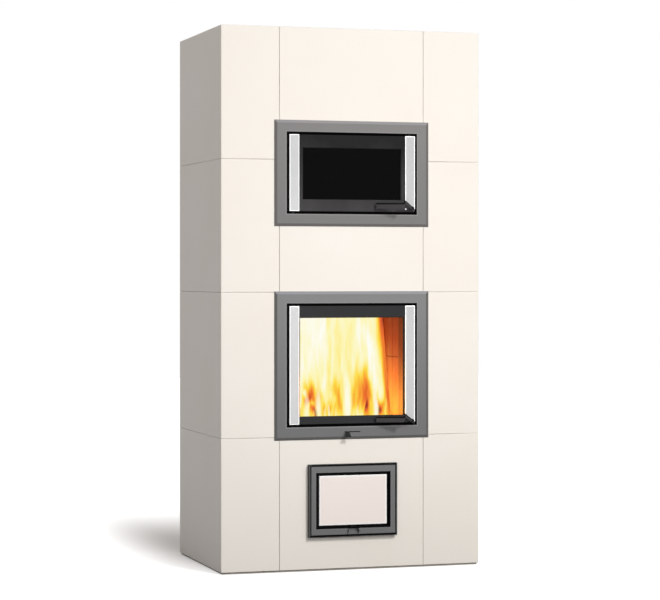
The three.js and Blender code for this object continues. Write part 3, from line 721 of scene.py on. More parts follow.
# the oven door's leaf: the fire door's leaf paint made lighter, as painted light
OVEN_LEAF_PAINTED_LIGHT = replace(LEAF, name="oven_leaf_painted_light", colour="4a494b", cloud_colour="434244",
                    speck_colour="5c5b5d")
OVEN_PAINT = replace(LEAF, name="oven_surround_paint", colour="888788", cloud_colour="838283", gloss=0.06,
                     cloud_scale=3.0, speck_colour="a4a5a7", speck_share=0.35, grain=Grain.ALONG_X)
FIRE_PAINT = replace(OVEN_PAINT, name="fire_surround_paint", colour="88898b", cloud_colour="838486",
                     speck_colour="98999b")
ASH_PAINT = replace(LEAF, name="ash_door_paint", colour="7b7c7d", cloud_colour="757677", gloss=0.05,
                    cloud_scale=4.0, speck_colour="838485")
LEVER_FACE = replace(LEAF, name="lever_face", colour="474546", cloud_colour="403f40", roughness=0.5,
                     gloss=0.05, cloud_scale=9.0, speck_colour="55565a")
BLACK_STEEL = replace(LEAF, name="black_steel", colour="161718", cloud_colour="1f2021", roughness=0.5,
                      gloss=0.1, cloud_scale=20.0, speck_colour="3a3b3e", speck_scale=1200.0)
BRUSHED = Finish("brushed_strip", "a0a1a2", "969798", 0.45, metallic=0.7, gloss=0.4, cloud_scale=5.0,
                 grain=Grain.ALONG_Z, grain_scale=1800.0, grain_depth=0.03 * MM, rough_spread=0.1)
SCREW_STEEL = Finish("screw_steel", "c2c4c6", "9c9ea0", 0.28, metallic=1.0, cloud_scale=200.0,
                     grain_scale=1500.0, grain_depth=0.03 * MM)
SHEET_STEEL = Finish("sheet_steel", "8b8d8f", "75777a", 0.38, metallic=0.95, cloud_scale=9.0,
                     speck_colour="55504a", speck_share=0.4, grain=Grain.ALONG_X, grain_scale=1400.0,
                     grain_depth=0.04 * MM)
ROPE = Finish("seal_rope", "18181a", "26262a", 0.95, gloss=0.15, cloud_scale=150.0, grain_scale=1800.0,
              grain_depth=0.3 * MM)
ASH = Finish("wood_ash", "b4b0a8", "8d8983", 1.0, gloss=0.1, cloud_scale=40.0, cloud_share=0.9,
             speck_colour="2c2825", speck_scale=160.0, speck_share=0.8, grain_scale=400.0,
             grain_depth=1 * MM)
FIRED = SootAndShade("fired_lining", REFRACTORY, "96452c", 0.64, 0.94, 0.95)
SMOKED = SootAndShade("smoked_refractory", REFRACTORY, "7a3822", 0.60, 0.90, 0.92, joint=-0.246)
# the oven leaf painted darker above 1.33 m, as painted shade
LEAF_TOP_PAINTED_SHADE = SootAndShade("oven_leaf_top_painted_shade", OVEN_LEAF_PAINTED_LIGHT, "161618", 1.33, 1.64, 0.92)
OVEN_GLASS = Glass("oven_glass", "030304", 0.985, 0.02)
FIRE_GLASS = Glass("fire_glass", "0c0a08", 0.035, 0.08)
FLAME_BODY = Flame("flame_body", soft=False, streaks=0.09)
FLAME_TONGUE = Flame("flame_tongue")
EMBER = Ember("embers")


# ---------------------------------------------------------------- meshes

BEVEL_SEGMENTS = 2
BEVEL_ANGLE = 30.0

# screw heads, as pairs of a radius and a place along Y from the point under the head
SCREW_RADIUS = 3.2 * MM
SOCKET_RADIUS = 1.7 * MM
SOCKET_HEAD = ((SOCKET_RADIUS * 0.9, -0.6 * MM), (SOCKET_RADIUS, -1.9 * MM),
               (SCREW_RADIUS - 0.5 * MM, -2.1 * MM), (SCREW_RADIUS, -1.6 * MM),
               (SCREW_RADIUS, 0.6 * MM), (SOCKET_RADIUS, 0.6 * MM))
CLIP_HEAD = ((0.4 * MM, 1.6 * MM), (2.4 * MM, 1.3 * MM), (3.0 * MM, 0.5 * MM), (3.0 * MM, 0.0))


def angles(sides: int) -> list[float]:
    """The directions of a ring's corners, in radians."""
    return [2 * math.pi * k / sides for k in range(sides)]


def lumps(x: float, y: float, z: float, size: float = 1.0) -> float:
    """Smooth noise at a point, from about minus to plus a size."""
    return size * noise.noise(Vector((x, y, z)))


def hang(name: str, data: bpy.types.ID, place: Point = (0.0, 0.0, 0.0)) -> bpy.types.Object:
    """Puts a new object in the scene.

    Args:
        name: the object's name.
        data: its mesh, lamp or camera.
        place: where it is.

    Returns:
        The new object.
    """
    made = bpy.data.objects.new(name, data)
    made.location = place
    bpy.context.scene.collection.objects.link(made)
    return made


class Shape:
    """A mesh that grows piece by piece and then becomes an object of the scene."""

    def __init__(self) -> None:
        """Starts with no faces."""
        self.mesh = bmesh.new()

    def box(self, low: Point, high: Point) -> None:
        """Adds a block between two corners."""
        size = Vector(high) - Vector(low)
        middle = (Vector(high) + Vector(low)) / 2
        matrix = Matrix.Translation(middle) @ Matrix.Diagonal((*size, 1.0))
        bmesh.ops.create_cube(self.mesh, size=1.0, matrix=matrix)

    def grid(self, rows: list[list[Point]], close_rows: bool = False, close_columns: bool = False,
             cap: bool = False) -> None:
        """Adds a sheet of four-sided faces over rows of points.

        Args:
            rows: lines of points, all with the same count.
            close_rows: whether each row comes back to its start.
            close_columns: whether the last row meets the first.
            cap: whether the first and last row are closed with a face.
        """
        made = [[self.mesh.verts.new(point) for point in row] for row in rows]
        count = len(made[0])
        for i in range(len(made) - (0 if close_columns else 1)):
            after = made[(i + 1) % len(made)]
            for k in range(count - (0 if close_rows else 1)):
                m = (k + 1) % count
                self.mesh.faces.new((made[i][k], made[i][m], after[m], after[k]))
        if cap:
            self.mesh.faces.new(list(reversed(made[0])))
            self.mesh.faces.new(made[-1])

    def turned(self, profile: tuple[Span, ...], centre: Point, sides: int) -> None:
        """Adds a body turned round an axis along Y.

        Args:
            profile: pairs of a radius and a place along Y from the centre.
            centre: the point that the axis goes through.
            sides: the number of flats round it.
        """
        x, y, z = centre
        self.grid([[(x + radius * math.cos(a), y + depth, z + radius * math.sin(a)) for a in angles(sides)]
                   for radius, depth in profile], close_rows=True, cap=True)

    def join(self) -> None:
        """Makes one corner of those that lie at the same place."""
        bmesh.ops.remove_doubles(self.mesh, verts=self.mesh.verts, dist=JOINED)

    def piece(self, name: str, finish: Look, body: str, slot: str | None = None, smooth: float = ROUND,
              bevel: float = 0.0) -> bpy.types.Object:
        """Turns the mesh into a piece that rides on a body.

        Args:
            name: the piece's name.
            finish: the finish that dresses it.
            body: the body that it moves with.
            slot: a material slot of the record; not used.
            smooth: the angle in degrees under which edges look round.
            bevel: the width of the softened edges.

        Returns:
            The new object.
        """
        bmesh.ops.recalc_face_normals(self.mesh, faces=self.mesh.faces)
        data = bpy.data.meshes.new(name)
        self.mesh.to_mesh(data)
        self.mesh.free()
        forget_normals(data)
        made = hang(name, data)
        data.materials.append(finish.material())
        data.shade_smooth()
        data.set_sharp_from_angle(angle=math.radians(smooth))
        if bevel > 0:
            soften(made, bevel)
        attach(made, body)
        log.info("%s: %d faces, on %s", name, len(data.polygons), body)
        return made


def soften(made: bpy.types.Object, width: float) -> None:
    """Rounds the sharp edges of an object a little, so that they catch the light.

    Args:
        made: the object.
        width: the width of the rounding in metres.
    """
    bevel = made.modifiers.new("soft_edges", "BEVEL")
    bevel.width = width
    bevel.segments = BEVEL_SEGMENTS
    bevel.limit_method = "ANGLE"
    bevel.angle_limit = math.radians(BEVEL_ANGLE)
    bevel.harden_normals = True


def forget_normals(data: bpy.types.Mesh) -> None:
    """Drops the normals that a mesh carries, so that its own faces set them."""
    if "custom_normal" in data.attributes:
        data.attributes.remove(data.attributes["custom_normal"])


def sharpen(data: bpy.types.Mesh, angle: float) -> None:
    """Marks the edges where faces meet at more than an angle, also where the mesh is split along them.

    Args:
        data: the mesh.
        angle: the angle in degrees.
    """
    places = [tuple(round(c, SAME_PLACE_DIGITS) for c in vertex.co) for vertex in data.vertices]
    facing: dict[tuple, list[Vector]] = {}
    for face in data.polygons:
        for a, b in face.edge_keys:
            facing.setdefault(tuple(sorted((places[a], places[b]))), []).append(face.normal)
    for edge in data.edges:
        a, b = edge.vertices
        first, *others = facing[tuple(sorted((places[a], places[b])))]
        edge.use_edge_sharp = any(first.angle(other, 0.0) > math.radians(angle) for other in others)


def dress(node: str, finish: Look, width: float = 0.0, smooth: float = 12.0) -> None:
    """Gives a carried-over CAD node its finish.

    Args:
        node: the node's name.
        finish: the finish.
        width: the width of its softened edges, or 0 to leave them as they are.
        smooth: the angle in degrees under which edges look round.
    """
    made = frame["nodes"][node]
    data = made.data
    forget_normals(data)
    data.materials.clear()
    data.materials.append(finish.material())
    data.shade_smooth()
    sharpen(data, smooth)
    if width > 0:
        weld = made.modifiers.new("joined_corners", "WELD")
        weld.merge_threshold = JOINED
        soften(made, width)
    log.info("%s: %s", node, finish.name)


# ---------------------------------------------------------------- the stove

@dataclass
class TileShell:
    """The tiles, the slabs and the flue collar."""

    courses: int = 4
    tile_edge: float = 0.7 * MM
    slab_edge: float = 1.5 * MM
    collar_edge: float = 0.6 * MM
    columns: tuple[str, ...] = ("front_tile_left", "front_tile_centre", "front_tile_right",
                                "side_tile_left", "side_tile_right")
    slabs: tuple[str, ...] = ("base_slab", "back_panel", "top_slab")

    def build(self) -> None:
        """Dresses every tile and slab."""
        for column in self.columns:
            for course in range(1, self.courses + 1):
                node = f"{column}_{course}"
                if node in frame["nodes"]:
                    dress(node, GLAZE, self.tile_edge)
        for node in self.slabs:
            dress(node, CONCRETE, self.slab_edge)
        dress("flue_collar", CAST_IRON, self.collar_edge, ROUND)


@dataclass
class Core:
    """The masonry behind the tiles: chambers, firebox, oven and ash chamber."""

    edge: float = 2 * MM
    grate_edge: float = 0.8 * MM
    plain: tuple[str, ...] = ("core_back_wall", "core_left_wall", "core_right_wall", "ash_chamber_floor",
                              "oven_side_left", "oven_side_right", "oven_floor", "oven_roof")
    fired: tuple[str, ...] = ("firebox_floor", "firebox_lining_left", "firebox_lining_right",
                              "firebox_lining_back", "smoke_throat_slab")

    def build(self) -> None:
        """Dresses the core's pieces."""
        for nodes, finish in ((self.plain, REFRACTORY), (self.fired, FIRED), (("core_front_wall",), SMOKED)):
            for node in nodes:
                dress(node, finish, self.edge)
        dress("fire_grate", CAST_IRON, self.grate_edge)


@dataclass
class GlazedDoor:
    """A door with a pane: its surround, leaf, glass, seal rope, strips, clips, screws and lever."""

    prefix: str
    body: str
    latch: str
    glass: Glass
    paint: Finish
    leaf_paint: Look
    # the frame's tones of painted light and shade: the lip, the bevels, the upward faces and the foot
    tones: tuple[str, str, str, str]
    # the margin round the leaf within which the frame is painted black, as painted shade
    sleeve: Point = (8.6 * MM, 0.0, 9.4 * MM)
    lip: float = 4.5 * MM
    surround_edge: float = 0.8 * MM
    leaf_edge: float = 0.4 * MM
    pin_edge: float = 0.3 * MM
    strip_edge: float = 0.5 * MM
    # the width and colour of the painted highlight round the strips' rims
    strip_rim: float = 3.6 * MM
    strip_rim_highlight: str = "e4e5e6"
    # how far above the spindle the mitre meets the strip's inner and outer side
    mitre: Span = (26 * MM, -5 * MM)
    lever_edge: float = 0.3 * MM
    # the height of the lever's bead, which is painted dark as shade
    bead: float = 6 * MM
    blade: float = 98 * MM
    arm_lift: float = 8 * MM
    # along X from the spindle: where the lift starts, is full, begins to fall and ends
    arm_span: tuple[float, float, float, float] = (-46 * MM, -39 * MM, -32 * MM, -7 * MM)
    rope_half_width: float = 4.3 * MM
    rope_gap: float = 0.2 * MM
    rope_corner: float = 12 * MM
    rope_sides: int = 16
    rope_lay: float = 7 * MM
    rope_step: float = 1.4 * MM
    rope_smooth: float = 60.0
    # the share of the rope's half width between two strands, and what a strand adds to it
    rope_swell: Span = (0.86, 0.14)
    clips_along: int = 2
    clip_width: float = 16 * MM
    clip_metal: float = 1.2 * MM
    clip_reach: float = 8 * MM
    clip_toe: float = 7.5 * MM
    clip_inset: float = 0.2 * MM
    clip_gap: float = 0.1 * MM
    clip_edge: float = 0.2 * MM
    clip_screw_place: float = 4 * MM
    clip_screw_sides: int = 16
    boss_height: float = 11.3 * MM
    screw_sides: int = 24
    screw_edge: float = 0.1 * MM
    corner_screw: bool = False
    corner_screw_offset: Span = (-22 * MM, -3.4 * MM)

    def build(self) -> None:
        """Dresses the door's nodes and adds its small pieces."""
        framing = Framing(f"{self.prefix}_framing", self.paint, f"{self.prefix}_leaf", self.sleeve, self.lip,
                          *self.tones)
        dress(f"{self.prefix}_surround", framing, self.surround_edge)
        dress(f"{self.prefix}_leaf", self.leaf_paint, self.leaf_edge)
        dress(f"{self.prefix}_glass", self.glass)
        dress(f"{self.prefix}_hinge_pin", BLACK_STEEL, self.pin_edge, ROUND)
        dress(f"{self.prefix}_strip_left", self.strip_finish("left"), self.strip_edge)
        self.mitred_strip()
        self.lever()
        self.rope()
        self.clips()
        self.screws()

    def spindle(self) -> Point:
        """The middle of the lever's spindle."""
        return next(joint for joint in frame["joints"] if joint["child"] == self.latch)["pos_m"]

    def strip_finish(self, side: str) -> Look:
        """The brushed metal of the strip on one side, with a painted highlight round its rim."""
        strip = f"{self.prefix}_strip_{side}"
        return Rimmed(f"{strip}_finish", BRUSHED, strip, self.strip_rim, self.strip_rim_highlight)

    def mitred_strip(self) -> None:
        """Makes the right strip in place of its solid, with the photograph's steeper mitre at its foot."""
        node = f"{self.prefix}_strip_right"
        low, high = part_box(node)
        axis = self.spindle()[2]
        inner, outer = (axis + rise for rise in self.mitre)
        outline = [(low.x, high.z), (low.x, inner), (high.x, outer), (high.x, high.z)]
        shape = Shape()
        shape.grid([[(x, y, z) for x, z in outline] for y in (low.y, high.y)], close_rows=True, cap=True)
        made = shape.piece(f"{self.prefix}_mitred_strip", self.strip_finish("right"), self.body,
                           "brushed_strip", bevel=self.strip_edge)
        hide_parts(node)

    def lever(self) -> None:
        """Makes the lever in place of its solid, with an arm that starts higher and slopes like the mitre."""
        node = f"{self.prefix}_lever"
        low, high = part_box(node)
        axis = self.spindle()
        start, full, fall, end = self.arm_span
        shape = Shape()
        shape.mesh.from_mesh(frame["nodes"][node].data)
        shape.mesh.transform(frame["nodes"][node].matrix_world)
        shape.join()
        for vertex in shape.mesh.verts:
            offset = vertex.co.x - axis[0]
            share = min(1.0, (offset - start) / (full - start), (end - offset) / (end - fall))
            vertex.co.z += self.arm_lift * max(0.0, share)
        finish = Beaded(f"{node}_finish", LEVER_FACE, high.z - self.bead, low.x + self.blade, axis)
        made = shape.piece(f"{self.prefix}_latch_lever", finish, self.latch, "black_steel",
                           bevel=self.lever_edge)
        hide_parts(node)

    def rope(self) -> None:
        """Lays the braided seal rope in a ring behind the leaf, in place of its plain solid."""
        low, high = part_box(f"{self.prefix}_seal")
        middle = (low + high) / 2
        half_depth = (high.y - low.y) / 2
        inset = self.rope_half_width + self.rope_gap
        path = rounded_rectangle((high.x - low.x) / 2 - inset, (high.z - low.z) / 2 - inset,
                                 self.rope_corner, self.rope_step)
        thin, strand = self.rope_swell
        rows = []
        travelled = 0.0
        for i, (x, z, out_x, out_z) in enumerate(path):
            travelled += math.hypot(x - path[i - 1][0], z - path[i - 1][1]) if i else 0.0
            twist = 2 * math.pi * travelled / self.rope_lay
            ring = []
            for a in angles(self.rope_sides):
                braid = 0.5 * abs(math.sin(2 * a + twist)) + 0.5 * abs(math.sin(2 * a - twist))
                swell = thin + strand * braid
                out = self.rope_half_width * swell * math.cos(a)
                ring.append((middle.x + x + out_x * out, middle.y + half_depth * swell * math.sin(a),
                             middle.z + z + out_z * out))
            rows.append(ring)
        shape = Shape()
        shape.grid(rows, close_rows=True, close_columns=True)
        made = shape.piece(f"{self.prefix}_seal_rope", ROPE, self.body, "seal_rope", self.rope_smooth)
        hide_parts(f"{self.prefix}_seal")

    def clips(self) -> None:
        """Adds the bent clips that hold the pane in the leaf's rebate, each with its screw."""
        _, leaf_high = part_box(f"{self.prefix}_leaf")
        pane_low, pane_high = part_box(f"{self.prefix}_glass")
        back = leaf_high.y + self.clip_gap
        plates, screws = Shape(), Shape()
        for side in (-1, 1):
            for k in range(self.clips_along):
                share = (k + 1) / (self.clips_along + 1)
                x = side * (pane_high.x - self.clip_inset)
                z = pane_low.z + share * (pane_high.z - pane_low.z)
                self.clip(plates, screws, Vector((x, 0, z)), Vector((-side, 0, 0)), pane_high.y, back)
                x = pane_low.x + share * (pane_high.x - pane_low.x)
                z = pane_high.z - self.clip_inset if side > 0 else pane_low.z + self.clip_inset
                self.clip(plates, screws, Vector((x, 0, z)), Vector((0, 0, -side)), pane_high.y, back)
        plates.piece(f"{self.prefix}_glass_clips", SHEET_STEEL, self.body, "sheet_steel",
                     bevel=self.clip_edge)
        screws.piece(f"{self.prefix}_clip_screws", SCREW_STEEL, self.body, "sheet_steel")

    def clip(self, plates: Shape, screws: Shape, wall: Vector, inward: Vector, pane: float,
             back: float) -> None:
        """Adds one clip: a foot on the leaf, a web down the rebate's wall and a toe on the pane.

        Args:
            plates: the shape that takes the clip.
            screws: the shape that takes its screw.
            wall: a point on the rebate's wall, at the clip's middle.
            inward: the direction from the wall to the middle of the pane.
            pane: the depth of the pane's rear face.
            back: the depth of the clip's foot on the leaf.
        """
        across = Vector((inward.z, 0, inward.x))
        metal, half = self.clip_metal, self.clip_width / 2
        toe = pane + self.clip_gap

        def bar(start: float, end: float, near: float, far: float) -> None:
            """Adds a block from start to end along the inward direction."""
            corners = [wall + inward * s + across * t for s in (start, end) for t in (-half, half)]
            low = Vector((min(c.x for c in corners), near, min(c.z for c in corners)))
            high = Vector((max(c.x for c in corners), far, max(c.z for c in corners)))
            plates.box(low, high)

        bar(-self.clip_reach, metal, back, back + metal)
        bar(0.0, metal, toe, back + self.clip_gap)
        bar(0.0, self.clip_toe, toe, toe + metal)
        head = wall - inward * self.clip_screw_place
        screws.turned(CLIP_HEAD, (head.x, back + metal, head.z), self.clip_screw_sides)

    def screws(self) -> None:
        """Adds the black screw in the lever's boss, and a bright one in the leaf where the door has it."""
        x, _, z = self.spindle()
        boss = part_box(f"{self.prefix}_strip_right")[0].y - self.boss_height
        self.socket_screw(f"{self.prefix}_lever_screw", (x, boss, z), BLACK_STEEL, self.latch)
        if self.corner_screw:
            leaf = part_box(f"{self.prefix}_leaf")[0].y
            place = (x + self.corner_screw_offset[0], leaf, z + self.corner_screw_offset[1])
            self.socket_screw(f"{self.prefix}_corner_screw", place, SCREW_STEEL, self.body)

    def socket_screw(self, name: str, place: Point, finish: Look, body: str) -> None:
        """Adds a socket screw whose head stands in front of a point.

        Args:
            name: its name.
            place: the point under its head.
            finish: its finish.
            body: the body that it moves with.
        """
        shape = Shape()
        shape.turned(SOCKET_HEAD, place, self.screw_sides)
        shape.piece(name, finish, body, "brushed_strip", bevel=self.screw_edge)


def rounded_rectangle(x: float, z: float, radius: float,
                      step: float) -> list[tuple[float, float, float, float]]:
    """Walks round a rectangle with round corners, in X and Z.

    Args:
        x: half its width.
        z: half its height.
        radius: the radius of its corners.
        step: the distance between points.

    Returns:
        Each point with the direction outwards at it.
    """
    points = []
    corners = [(x - radius, z - radius, 0.0), (-x + radius, z - radius, 90.0),
               (-x + radius, -z + radius, 180.0), (x - radius, -z + radius, 270.0)]
    turns = max(4, round(radius * math.pi / 2 / step))
    for i, (centre_x, centre_z, start) in enumerate(corners):
        for k in range(turns + 1):
            a = math.radians(start + 90 * k / turns)
            points.append((centre_x + radius * math.cos(a), centre_z + radius * math.sin(a),
                           math.cos(a), math.sin(a)))
        here_x, here_z, out_x, out_z = points[-1]
        next_x, next_z, _ = corners[(i + 1) % len(corners)]
        run_x, run_z = next_x + radius * out_x - here_x, next_z + radius * out_z - here_z
        count = max(1, round(math.hypot(run_x, run_z) / step))
        for k in range(1, count):
            points.append((here_x + k / count * run_x, here_z + k / count * run_z, out_x, out_z))
    return points


@dataclass
class AshDoor:
    """The small door below: surround, leaf with its grip, tile panel and pan full of ash."""

    # the margin round the leaf within which the surround is painted black, as painted shade
    leaf_gap: Point = (3.5 * MM, 0.0, 5.5 * MM)
    leaf_lip: float = 2.5 * MM
    # the surround's tones of painted light and shade: the lip, the bevels, the upward faces and the foot
    surround_tones: tuple[str, str, str, str] = ("6c6d6e", "4a4b4c", "2a2b2c", "707172")
    # the margin round the tile within which the leaf is painted black, as painted shade
    tile_gap: Point = (12.5 * MM, 0.0, 11.4 * MM)
    tile_lip: float = 3.5 * MM
    # the leaf's tones of painted light and shade: the lip, the bevels, the upward faces and the foot
    leaf_tones: tuple[str, str, str, str] = ("7e7f80", "5a5b5c", "5a5b5c", "707172")
    # the width and colour of the painted highlight round the tile's rim
    tile_rim: float = 7 * MM
    tile_rim_highlight: str = "ffffff"
    sheet_edge: float = 0.4 * MM
    tile_edge: float = 0.6 * MM
    pin_edge: float = 0.2 * MM
    ash_x: Span = (-0.078, 0.078)
    ash_y: Span = (-0.168, 0.128)
    pan_floor: float = 2.4 * MM
    ash_depth: float = 26 * MM
    # the share of the full height at the heap's rim, and how fast it grows inwards
    ash_rim: Span = (0.35, 2.2)
    ash_level: float = 0.75
    ash_steps: tuple[int, int] = (27, 49)
    ash_smooth: float = 60.0

    def build(self) -> None:
        """Dresses the door and fills the pan."""
        surround = Framing("ash_surround_framing", ASH_PAINT, "ash_door_leaf", self.leaf_gap, self.leaf_lip,
                           *self.surround_tones)
        leaf = Framing("ash_leaf_framing", ASH_PAINT, "ash_door_tile", self.tile_gap, self.tile_lip,
                       *self.leaf_tones)
        tile = Rimmed("ash_tile_finish", ASH_TILE, "ash_door_tile", self.tile_rim, self.tile_rim_highlight)
        dress("ash_door_surround", surround, self.sheet_edge)
        dress("ash_door_leaf", leaf, self.sheet_edge)
        dress("ash_door_tile", tile, self.tile_edge, ROUND)
        dress("ash_door_hinge_pin", BLACK_STEEL, self.pin_edge, ROUND)
        dress("ash_pan", SHEET_STEEL, self.sheet_edge)
        self.ash()

    def ash(self) -> None:
        """Heaps ash in the pan, lower towards its sides."""
        low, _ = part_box("ash_pan")
        floor = low.z + self.pan_floor
        columns, rows = self.ash_steps

        def place(i: int, k: int) -> Point:
            """A point of the heap's surface."""
            u, v = i / columns, k / rows
            rim = min(u, 1 - u, v, 1 - v)
            lump = lumps(u * 9, v * 15, 0.3, 0.35) + lumps(u * 31, v * 50, 1.7, 0.12)
            full = min(1.0, self.ash_rim[0] + self.ash_rim[1] * rim)
            height = self.ash_depth * full * (self.ash_level + lump)
            return (self.ash_x[0] + (self.ash_x[1] - self.ash_x[0]) * u,
                    self.ash_y[0] + (self.ash_y[1] - self.ash_y[0]) * v, floor + height)

        shape = Shape()
        top = [[place(i, k) for i in range(columns + 1)] for k in range(rows + 1)]
        shape.grid(top)
        skirt = top[0] + [row[-1] for row in top[1:]] + top[-1][-2::-1] + [row[0] for row in top[-2:0:-1]]
        shape.grid([skirt, [(x, y, floor) for x, y, _ in skirt]], close_rows=True)
        shape.join()
        shape.piece("ash_heap", ASH, "ash_drawer", smooth=self.ash_smooth)


@dataclass(frozen=True)
class Log:
    """A split log: its middle, its length and radius, the way it points and its tilt, in degrees."""

    centre: Point
    length: float
    radius: float
    turn: float
    tilt: float


@dataclass(frozen=True)
class Tongue:
    """A tongue of flame: where it stands, its size, its lean to the right and how hot it is."""

    x: float
    y: float
    width: float
    height: float
    lean: float
    heat: float
    foot: float = 0.515


@dataclass(frozen=True)
class Patch:
    """A hotter or cooler patch of the flames: its middle, half its size, its change of heat and its slant."""

    x: float
    z: float
    half_width: float
    half_height: float
    change: float
    slant: float = 0.0


@dataclass
class Fire:
    """Logs on a bed of embers, and the flames over them."""

    bed_x: float = 0.150
    bed_y: Span = (-0.190, 0.130)
    bed_foot: float = 0.5015
    bed_top: float = 0.522
    bed_rim: float = 7.0
    bed_steps: tuple[int, int] = (60, 60)
    bed_smooth: float = 70.0
    logs: tuple[Log, ...] = (
        Log((-0.085, -0.040, 0.532), 0.20, 0.030, 12.0, 4.0),
        Log((0.075, -0.045, 0.530), 0.21, 0.032, -10.0, -3.0),
        Log((-0.010, 0.030, 0.545), 0.27, 0.036, 4.0, 3.0),
        Log((0.020, 0.015, 0.590), 0.22, 0.028, 30.0, 8.0),
    )
    log_rings: int = 26
    log_sides: int = 22
    log_bump: float = 0.16
    # how far from a log's middle its ends begin, as a share of its length, and how thick they are
    log_end: Span = (0.48, 0.86)
    # the sine of the turn above which a log is split, and what is left of its radius there
    log_split: Span = (0.75, 0.72)
    log_smooth: float = 50.0
    flame_left: float = -0.197
    flame_right: float = 0.2004
    flame_depth: float = -0.105
    edge_depth: Span = (-0.145, -0.055)
    flame_foot: float = 0.506
    flame_top: float = 0.955
    flame_steps: tuple[int, int] = (130, 90)
    flame_wave: float = 4 * MM
    # the height at which the flame's right edge starts back, and how much higher it is all the way back
    edge_rise: Span = (0.52, 0.37)
    # the width of the cooler right edge low down, and what it gains on the way up
    edge_width: Span = (0.018, 0.022)
    edge_reach: float = 1.10
    # the heat of the right edge low down, and what it loses on the way up
    edge_heat: Span = (0.43, 0.28)
    pale: float = 0.82
    # the height above which the flame's foot ends, and how gently it does
    foot_end: Span = (0.53, 0.10)
    foot_cooling: float = 0.12
    # how strong the licks are high up, and what they gain in the foot
    lick: Span = (0.05, 0.24)
    patches: tuple[Patch, ...] = (
        Patch(-0.078, 0.850, 0.048, 0.130, 0.13), Patch(-0.098, 0.700, 0.022, 0.070, 0.08),
        Patch(0.129, 0.800, 0.014, 0.110, 0.12, -0.235), Patch(0.152, 0.640, 0.009, 0.045, 0.17),
        Patch(-0.046, 0.645, 0.014, 0.050, 0.08), Patch(-0.090, 0.605, 0.031, 0.060, -0.44),
        Patch(-0.072, 0.544, 0.013, 0.017, -0.50), Patch(0.008, 0.620, 0.016, 0.050, -0.36),
        Patch(0.022, 0.552, 0.007, 0.026, -0.26), Patch(-0.034, 0.555, 0.016, 0.026, -0.25),
        Patch(0.102, 0.655, 0.032, 0.050, -0.28), Patch(0.112, 0.595, 0.038, 0.054, -0.32),
        Patch(0.117, 0.546, 0.008, 0.026, -0.48), Patch(0.168, 0.552, 0.010, 0.034, -0.62),
        Patch(-0.112, 0.592, 0.010, 0.012, -0.30), Patch(0.050, 0.720, 0.030, 0.120, -0.04),
        Patch(-0.090, 0.572, 0.014, 0.013, 0.26), Patch(-0.117, 0.600, 0.006, 0.014, 0.50),
    )
    tongues: tuple[Tongue, ...] = (
        Tongue(-0.125, -0.165, 0.030, 0.12, 0.004, 0.80), Tongue(-0.078, -0.170, 0.030, 0.15, -0.004, 0.86),
        Tongue(-0.056, -0.175, 0.016, 0.07, 0.003, 0.78), Tongue(-0.040, -0.170, 0.014, 0.08, 0.0, 0.84),
        Tongue(-0.015, -0.175, 0.014, 0.06, 0.002, 0.80), Tongue(0.030, -0.165, 0.042, 0.20, 0.003, 0.90),
        Tongue(0.066, -0.175, 0.018, 0.07, 0.004, 0.74), Tongue(0.139, -0.165, 0.026, 0.16, 0.002, 0.92),
        Tongue(0.172, -0.175, 0.014, 0.10, 0.004, 0.66), Tongue(0.118, -0.175, 0.014, 0.06, -0.004, 0.60),
        Tongue(-0.104, -0.178, 0.014, 0.05, 0.006, 0.66),
    )
    tongue_steps: tuple[int, int] = (10, 26)
    tongue_tip: float = 0.999
    tongue_sway: float = 0.10
    tongue_bow: float = 0.35
    tongue_recede: float = 0.02
    tongue_warming: float = 0.08
    flame_smooth: float = 180.0

    def build(self) -> None:
        """Makes the bed, the logs and the flames."""
        self.bed()
        self.burning_logs()
        self.body_of_flame()
        self.front_tongues()

    def bed(self) -> None:
        """Heaps embers over the grate."""
        columns, rows = self.bed_steps
        y0, y1 = self.bed_y

        def place(i: int, k: int) -> Point:
            """A point of the heap's surface."""
            u, v = i / columns, k / rows
            x, y = -self.bed_x + 2 * self.bed_x * u, y0 + (y1 - y0) * v
            rim = min(1.0, self.bed_rim * min(u, 1 - u, v, 1 - v))
            lump = lumps(x * 60, y * 60, 0.2, 0.009) + lumps(x * 22, y * 22, 4.0, 0.012)
            return (x, y, self.bed_foot + rim * (self.bed_top - self.bed_foot + lump))

        shape = Shape()
        shape.grid([[place(i, k) for i in range(columns + 1)] for k in range(rows + 1)])
        shape.piece("ember_bed", EMBER, "stove_body", smooth=self.bed_smooth)

    def burning_logs(self) -> None:
        """Makes the logs, each a little bent, split and charred."""
        shape = Shape()
        for number, entry in enumerate(self.logs):
            shape.grid(self.log_rows(entry, number), close_rows=True, cap=True)
        shape.piece("fire_logs", EMBER, "stove_body", smooth=self.log_smooth)

    def log_rows(self, entry: Log, number: int) -> list[list[Point]]:
        """The rings of points of one log, from end to end.

        Args:
            entry: the log.
            number: its place in the list, which sets its bumps and its split.

        Returns:
            The rings.
        """
        turn = Matrix.Rotation(math.radians(entry.turn), 4, "Z")
        tilt = Matrix.Rotation(math.radians(entry.tilt), 4, "Y")
        place = Matrix.Translation(entry.centre) @ (turn @ tilt)
        rows = []
        for i in range(self.log_rings + 1):
            t = i / self.log_rings - 0.5
            end = 1.0 if abs(t) < self.log_end[0] else self.log_end[1]
            row = []
            for a in angles(self.log_sides):
                rough = 1 + lumps(math.cos(a) * 1.6, math.sin(a) * 1.6, t * 7 + number * 5, self.log_bump)
                split = self.log_split[1] if math.sin(a + number) > self.log_split[0] else 1.0
                r = entry.radius * end * rough * split
                row.append(place @ Vector((t * entry.length, r * math.cos(a), r * math.sin(a))))
            rows.append(row)
        return rows

